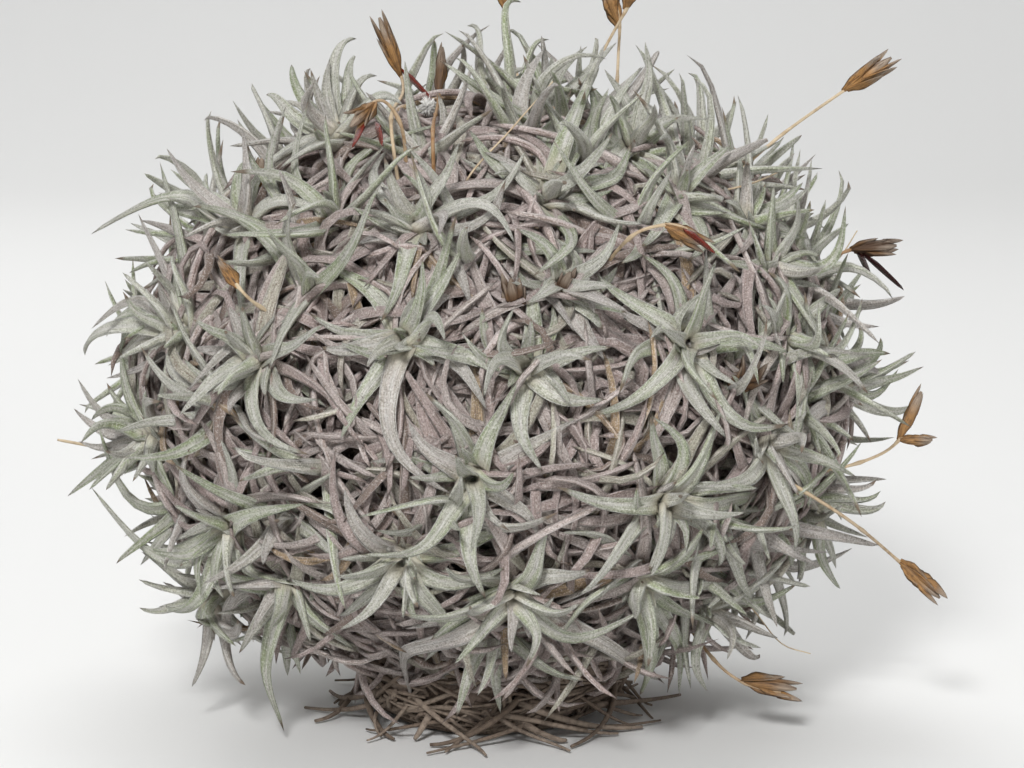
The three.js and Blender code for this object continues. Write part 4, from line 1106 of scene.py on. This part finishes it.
def spike(base, tip, stalk, chances):
    """The skins of one head: a spindle, and bracts that leave it in two ranks, to the left and right as seen.
    The spindle's radius is a share and a sine to a power, and the bracts' turns are half a turn apart."""
    along = unit(tip - base)
    reach = np.linalg.norm(tip - base)
    bracts = stalk["bracts"]
    t = np.linspace(0, 1, CORE_STATIONS)
    core = base + (tip - base) * CORE_SHARE * t[:, None]
    thick = CORE_RADIUS * (0.3 + np.sin(math.pi * t) ** 0.8)
    spindle = rods(core[None], thick[None], WIRE_SIDES, [0.4 + 0.4 * stalk["dark"]])
    flat = unit(np.cross(along, unit(base - EYE)))
    order = np.arange(bracts)
    turn = order * math.pi + chances.normal(0, 0.5, bracts)
    out = np.cos(turn)[:, None] * flat + np.sin(turn)[:, None] * np.cross(along, flat)
    at = base + along * (reach * BRACT_SHARE * order / bracts)[:, None] + out * 0.0002
    long = reach * chances.uniform(*BRACT_LENGTH, bracts)
    opening = stalk["open"] * chances.uniform(0.4, 1.5, bracts)
    width = BRACT_WIDTH * stalk.get("slim", 1) * chances.uniform(0.75, 1.1, bracts)
    chance = 0.4 + 0.4 * np.clip(stalk["dark"] + chances.normal(0, 0.12, bracts), 0, 1)
    return [spindle, scales(at, along, out, long, opening, width, BRACT_GUTTER, BRACT_BLUNT, chance)]


straw = straw_finish()
for number, stalk in enumerate(STALKS, 1):
    chances = np.random.default_rng(2000 + number)
    back = stalk.get("back", 0)
    start, *rest = [seen(*place, back=back) for place in stalk["way"]]
    inside = [at_shell(start, STALK_FOOT), at_shell(start, STALK_MOUTH)]
    line, length = wire(np.array([*inside, *rest]), WIRE_STATIONS)
    bracts = stalk["bracts"]
    neck = 1 - stalk.get("head", HEAD_LENGTH) / length if bracts else 1
    t = np.linspace(0, 1, WIRE_STATIONS)

    # The wire is swollen at its knuckles, a bell curve at each, and thins towards the tip of its head.
    away = (t[:, None] - KNUCKLES * neck) * length / KNUCKLE_LENGTH
    swell = KNUCKLE_SWELL * np.exp(-(away**2)).sum(1)
    radius = np.interp(t, [0, neck, 1], WIRE_RADIUS) * (1 + swell * bool(bracts))
    shown = t <= neck + (1 - neck) * WIRE_IN_HEAD
    parts = [rods(line[None, shown], radius[None, shown], WIRE_SIDES, [0.3 * stalk.get("dark", 0.2)])]
    heads = [(line[int(neck * (WIRE_STATIONS - 1))], line[-1])] if bracts else []
    if "side" in stalk:
        heads.append((heads[0][0], seen(*stalk["side"])))
    for base, tip in heads:
        parts += spike(base, tip, stalk, chances)
    for foot, tip in stalk.get("valves", []):
        foot = beside(*foot, heads[0][0])
        tip = beside(*tip, heads[0][0] + unit(EYE - foot) * VALVE_LEAN)
        along = unit(tip - foot)[None]
        out = unit(np.cross(along, unit(foot - EYE)))
        width = np.array([VALVE_WIDTH])
        long = np.array([np.linalg.norm(tip - foot)])
        lean = np.array([VALVE_OPEN])
        chance = np.array([0.86 + 0.14 * (stalk["dark"] > 0.7)])
        parts.append(scales(foot[None], along, out, long, lean, width, VALVE_GUTTER, VALVE_BLUNT, chance))
    if number == SILK_STALK:
        silk_at = tip
    piece = skin(f"seed_stalk_{number:02d}_dressed", *joined_skins(parts), straw, "dry_stalks")
    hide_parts(f"seed_stalk_{number:02d}")

# Old capsules that have sunk into the thatch, each by its foot and its tip as seen, and thin bare wires.
CAPSULE_SHELLS = (1.09, 1.21)
CAPSULES = [
    dict(foot=(5.8, 15.5), tip=(4.7, 24.5), bracts=5, open=0.5, dark=0.8),
    dict(foot=(15, 18.3), tip=(18.3, 25.5), bracts=4, open=0.4, dark=1.0, slim=0.8),
    dict(foot=(52.7, -2.5), tip=(59.8, 6.5), bracts=6, open=0.7, dark=0.8),
    dict(foot=(-49, 42.5), tip=(-49, 50), bracts=3, open=0.1, dark=0.1, slim=0.8),
]
THIN_FOOT = 0.85
THIN_RADIUS = (0.00028, 0.00012)
THIN_CHANCE = 0.05
THIN_SIDES = 6
THIN_WIRES = [
    [(-5, 43, 1.08), (5, 55, 1.16), (14.2, 65.6, 1.26)],
    [(46, 40, 1.05), (56, 43, 1.2), (64, 46.5, 1.25)],
    [(68, 21, 1.05), (75, 27, 1.15), (79, 33, 1.15)],
    [(44, -34, 1.05), (57, -49, 1.2), (63, -56, 1.2), (69, -58, 1.2)],
]
chances = np.random.default_rng(41)
parts = []
for capsule in CAPSULES:
    foot, tip = (seen(*capsule[end], shell) for end, shell in zip(("foot", "tip"), CAPSULE_SHELLS))
    parts += spike(foot, tip, capsule, chances)
for places in THIN_WIRES:
    start, *rest = [seen(*place) for place in places]
    foot = EGG_MIDDLE + (start - EGG_MIDDLE) * THIN_FOOT
    line, length = wire(np.array([foot, start, *rest]), WIRE_STATIONS)
    radius = np.linspace(*THIN_RADIUS, WIRE_STATIONS)
    parts.append(rods(line[None], radius[None], THIN_SIDES, [THIN_CHANCE]))
skin("sunken_capsules", *joined_skins(parts), straw, "dry_stalks")

# The tuft of seed silk at the tip of an open valve.
SILK_HAIRS = 340
SILK_LENGTH = (0.0012, 0.0025)
SILK_CURL = 0.6
SILK_RADIUS = 0.00008
SILK_STATIONS = 4
SILK_SIDES = 3
SILK_WHITE = (0.9, 0.89, 0.86)
SILK_GREY = (0.66, 0.64, 0.6)
chances = np.random.default_rng(31)
way = unit(chances.normal(0, 1, (SILK_HAIRS, 3)))
bent = unit(way + chances.normal(0, SILK_CURL, way.shape))
t = np.linspace(0, 1, SILK_STATIONS)[None, :, None]
long = chances.uniform(*SILK_LENGTH, (SILK_HAIRS, 1))[:, None]
line = silk_at + long * (way[:, None] * t + bent[:, None] * t**2) / 2
hairs = rods(line, np.full(line.shape[:2], SILK_RADIUS), SILK_SIDES, np.zeros(SILK_HAIRS))
silk = Finish("seed_silk", Sheen_Weight=0.6)
silk_spots = silk.noise(silk.around(), 900.0)
silk.coat(silk.layered(SILK_WHITE, (silk_spots, SILK_GREY)), 0.5, silk_spots, 0.0001)
skin("seed_silk", *hairs, silk.material, "dry_stalks")


# The floor, the light and the camera
# A pale seamless sheet, soft studio lights, and a long lens at the photograph's height and framing.
FLOOR_WIDTH = 6.0
FLOOR_FRONT = 1.5
FLOOR_DEPTH = 1.1
FLOOR_BEND = 0.6
WALL_HEIGHT = 3
FLOOR_ROWS = 60
FLOOR_PAINT = (0.8, 0.8, 0.79, 1)
VIEW_WIDTH = 0.2202
VIEW_AT = (0.0047, 0, 0.072)
SENSOR = 36.0
# Each light's place, the point that it faces, its size and its power in watts.
LIGHTS = {
    "key": ((-0.18, -1.0, 0.72), VIEW_AT, 0.2, 11.6),
    "fill": ((0.8, -0.9, 0.3), VIEW_AT, 0.7, 1.9),
    "top": ((0.1, 0.3, 1.3), VIEW_AT, 0.8, 3.9),
    "back": ((-0.5, 0.9, 0.9), VIEW_AT, 0.5, 3.6),
    "backdrop": ((0, 0.9, 1.9), (0, 1.6, 0.3), 1.6, 9.0),
}
SKY = (0.93, 0.935, 0.95, 1)
SKY_STRENGTH = 0.3

# The sheet lies flat for half of its rows, bends up through a quarter turn, and then stands.
rows = np.linspace(0, 1, FLOOR_ROWS)
flat = np.clip(rows / 0.5, 0, 1) * (FLOOR_DEPTH + FLOOR_FRONT) - FLOOR_FRONT
bend = np.clip((rows - 0.5) / 0.3, 0, 1) * math.pi / 2
wall = np.clip((rows - 0.8) / 0.2, 0, 1) * WALL_HEIGHT
y = flat + FLOOR_BEND * np.sin(bend)
z = FLOOR_BEND * (1 - np.cos(bend)) + wall
x = np.array([-FLOOR_WIDTH / 2, FLOOR_WIDTH / 2])
points = np.stack([np.tile(x, FLOOR_ROWS), np.repeat(y, 2), np.repeat(z, 2)], -1)
index = 2 * np.arange(FLOOR_ROWS - 1)[:, None] + np.array([0, 1, 3, 2])
mesh = bpy.data.meshes.new("floor")
mesh.from_pydata(points.tolist(), [], index.tolist())
mesh.polygons.foreach_set("use_smooth", [True] * len(mesh.polygons))
floor = bpy.data.objects.new("floor", mesh)
bpy.context.scene.collection.objects.link(floor)
floor_finish = Finish("pale_floor", Base_Color=FLOOR_PAINT, Roughness=0.9, Specular_IOR_Level=0.1)
mesh.materials.append(floor_finish.material)

for name, (place, target, size, power) in LIGHTS.items():
    light = bpy.data.lights.new(name, "AREA")
    light.size = size
    light.energy = power
    lamp = bpy.data.objects.new(name, light)
    lamp.location = place
    lamp.rotation_euler = (Vector(target) - lamp.location).to_track_quat("-Z", "Y").to_euler()
    bpy.context.scene.collection.objects.link(lamp)

world = bpy.data.worlds.new("studio")
world.use_nodes = True
sky = world.node_tree.nodes["Background"]
sky.inputs["Color"].default_value = SKY
sky.inputs["Strength"].default_value = SKY_STRENGTH
bpy.context.scene.world = world
bpy.context.scene.view_settings.view_transform = "Standard"

camera_data = bpy.data.cameras.new("camera")
camera_data.sensor_width = SENSOR
camera_data.lens = SENSOR * EYE_DISTANCE / VIEW_WIDTH
camera_data.clip_start = 0.01
camera = bpy.data.objects.new("camera", camera_data)
camera.location = np.array(VIEW_AT) + EYE_WAY
camera.rotation_euler = (math.pi / 2 - EYE_RISE, 0, 0)
bpy.context.scene.collection.objects.link(camera)
bpy.context.scene.camera = camera
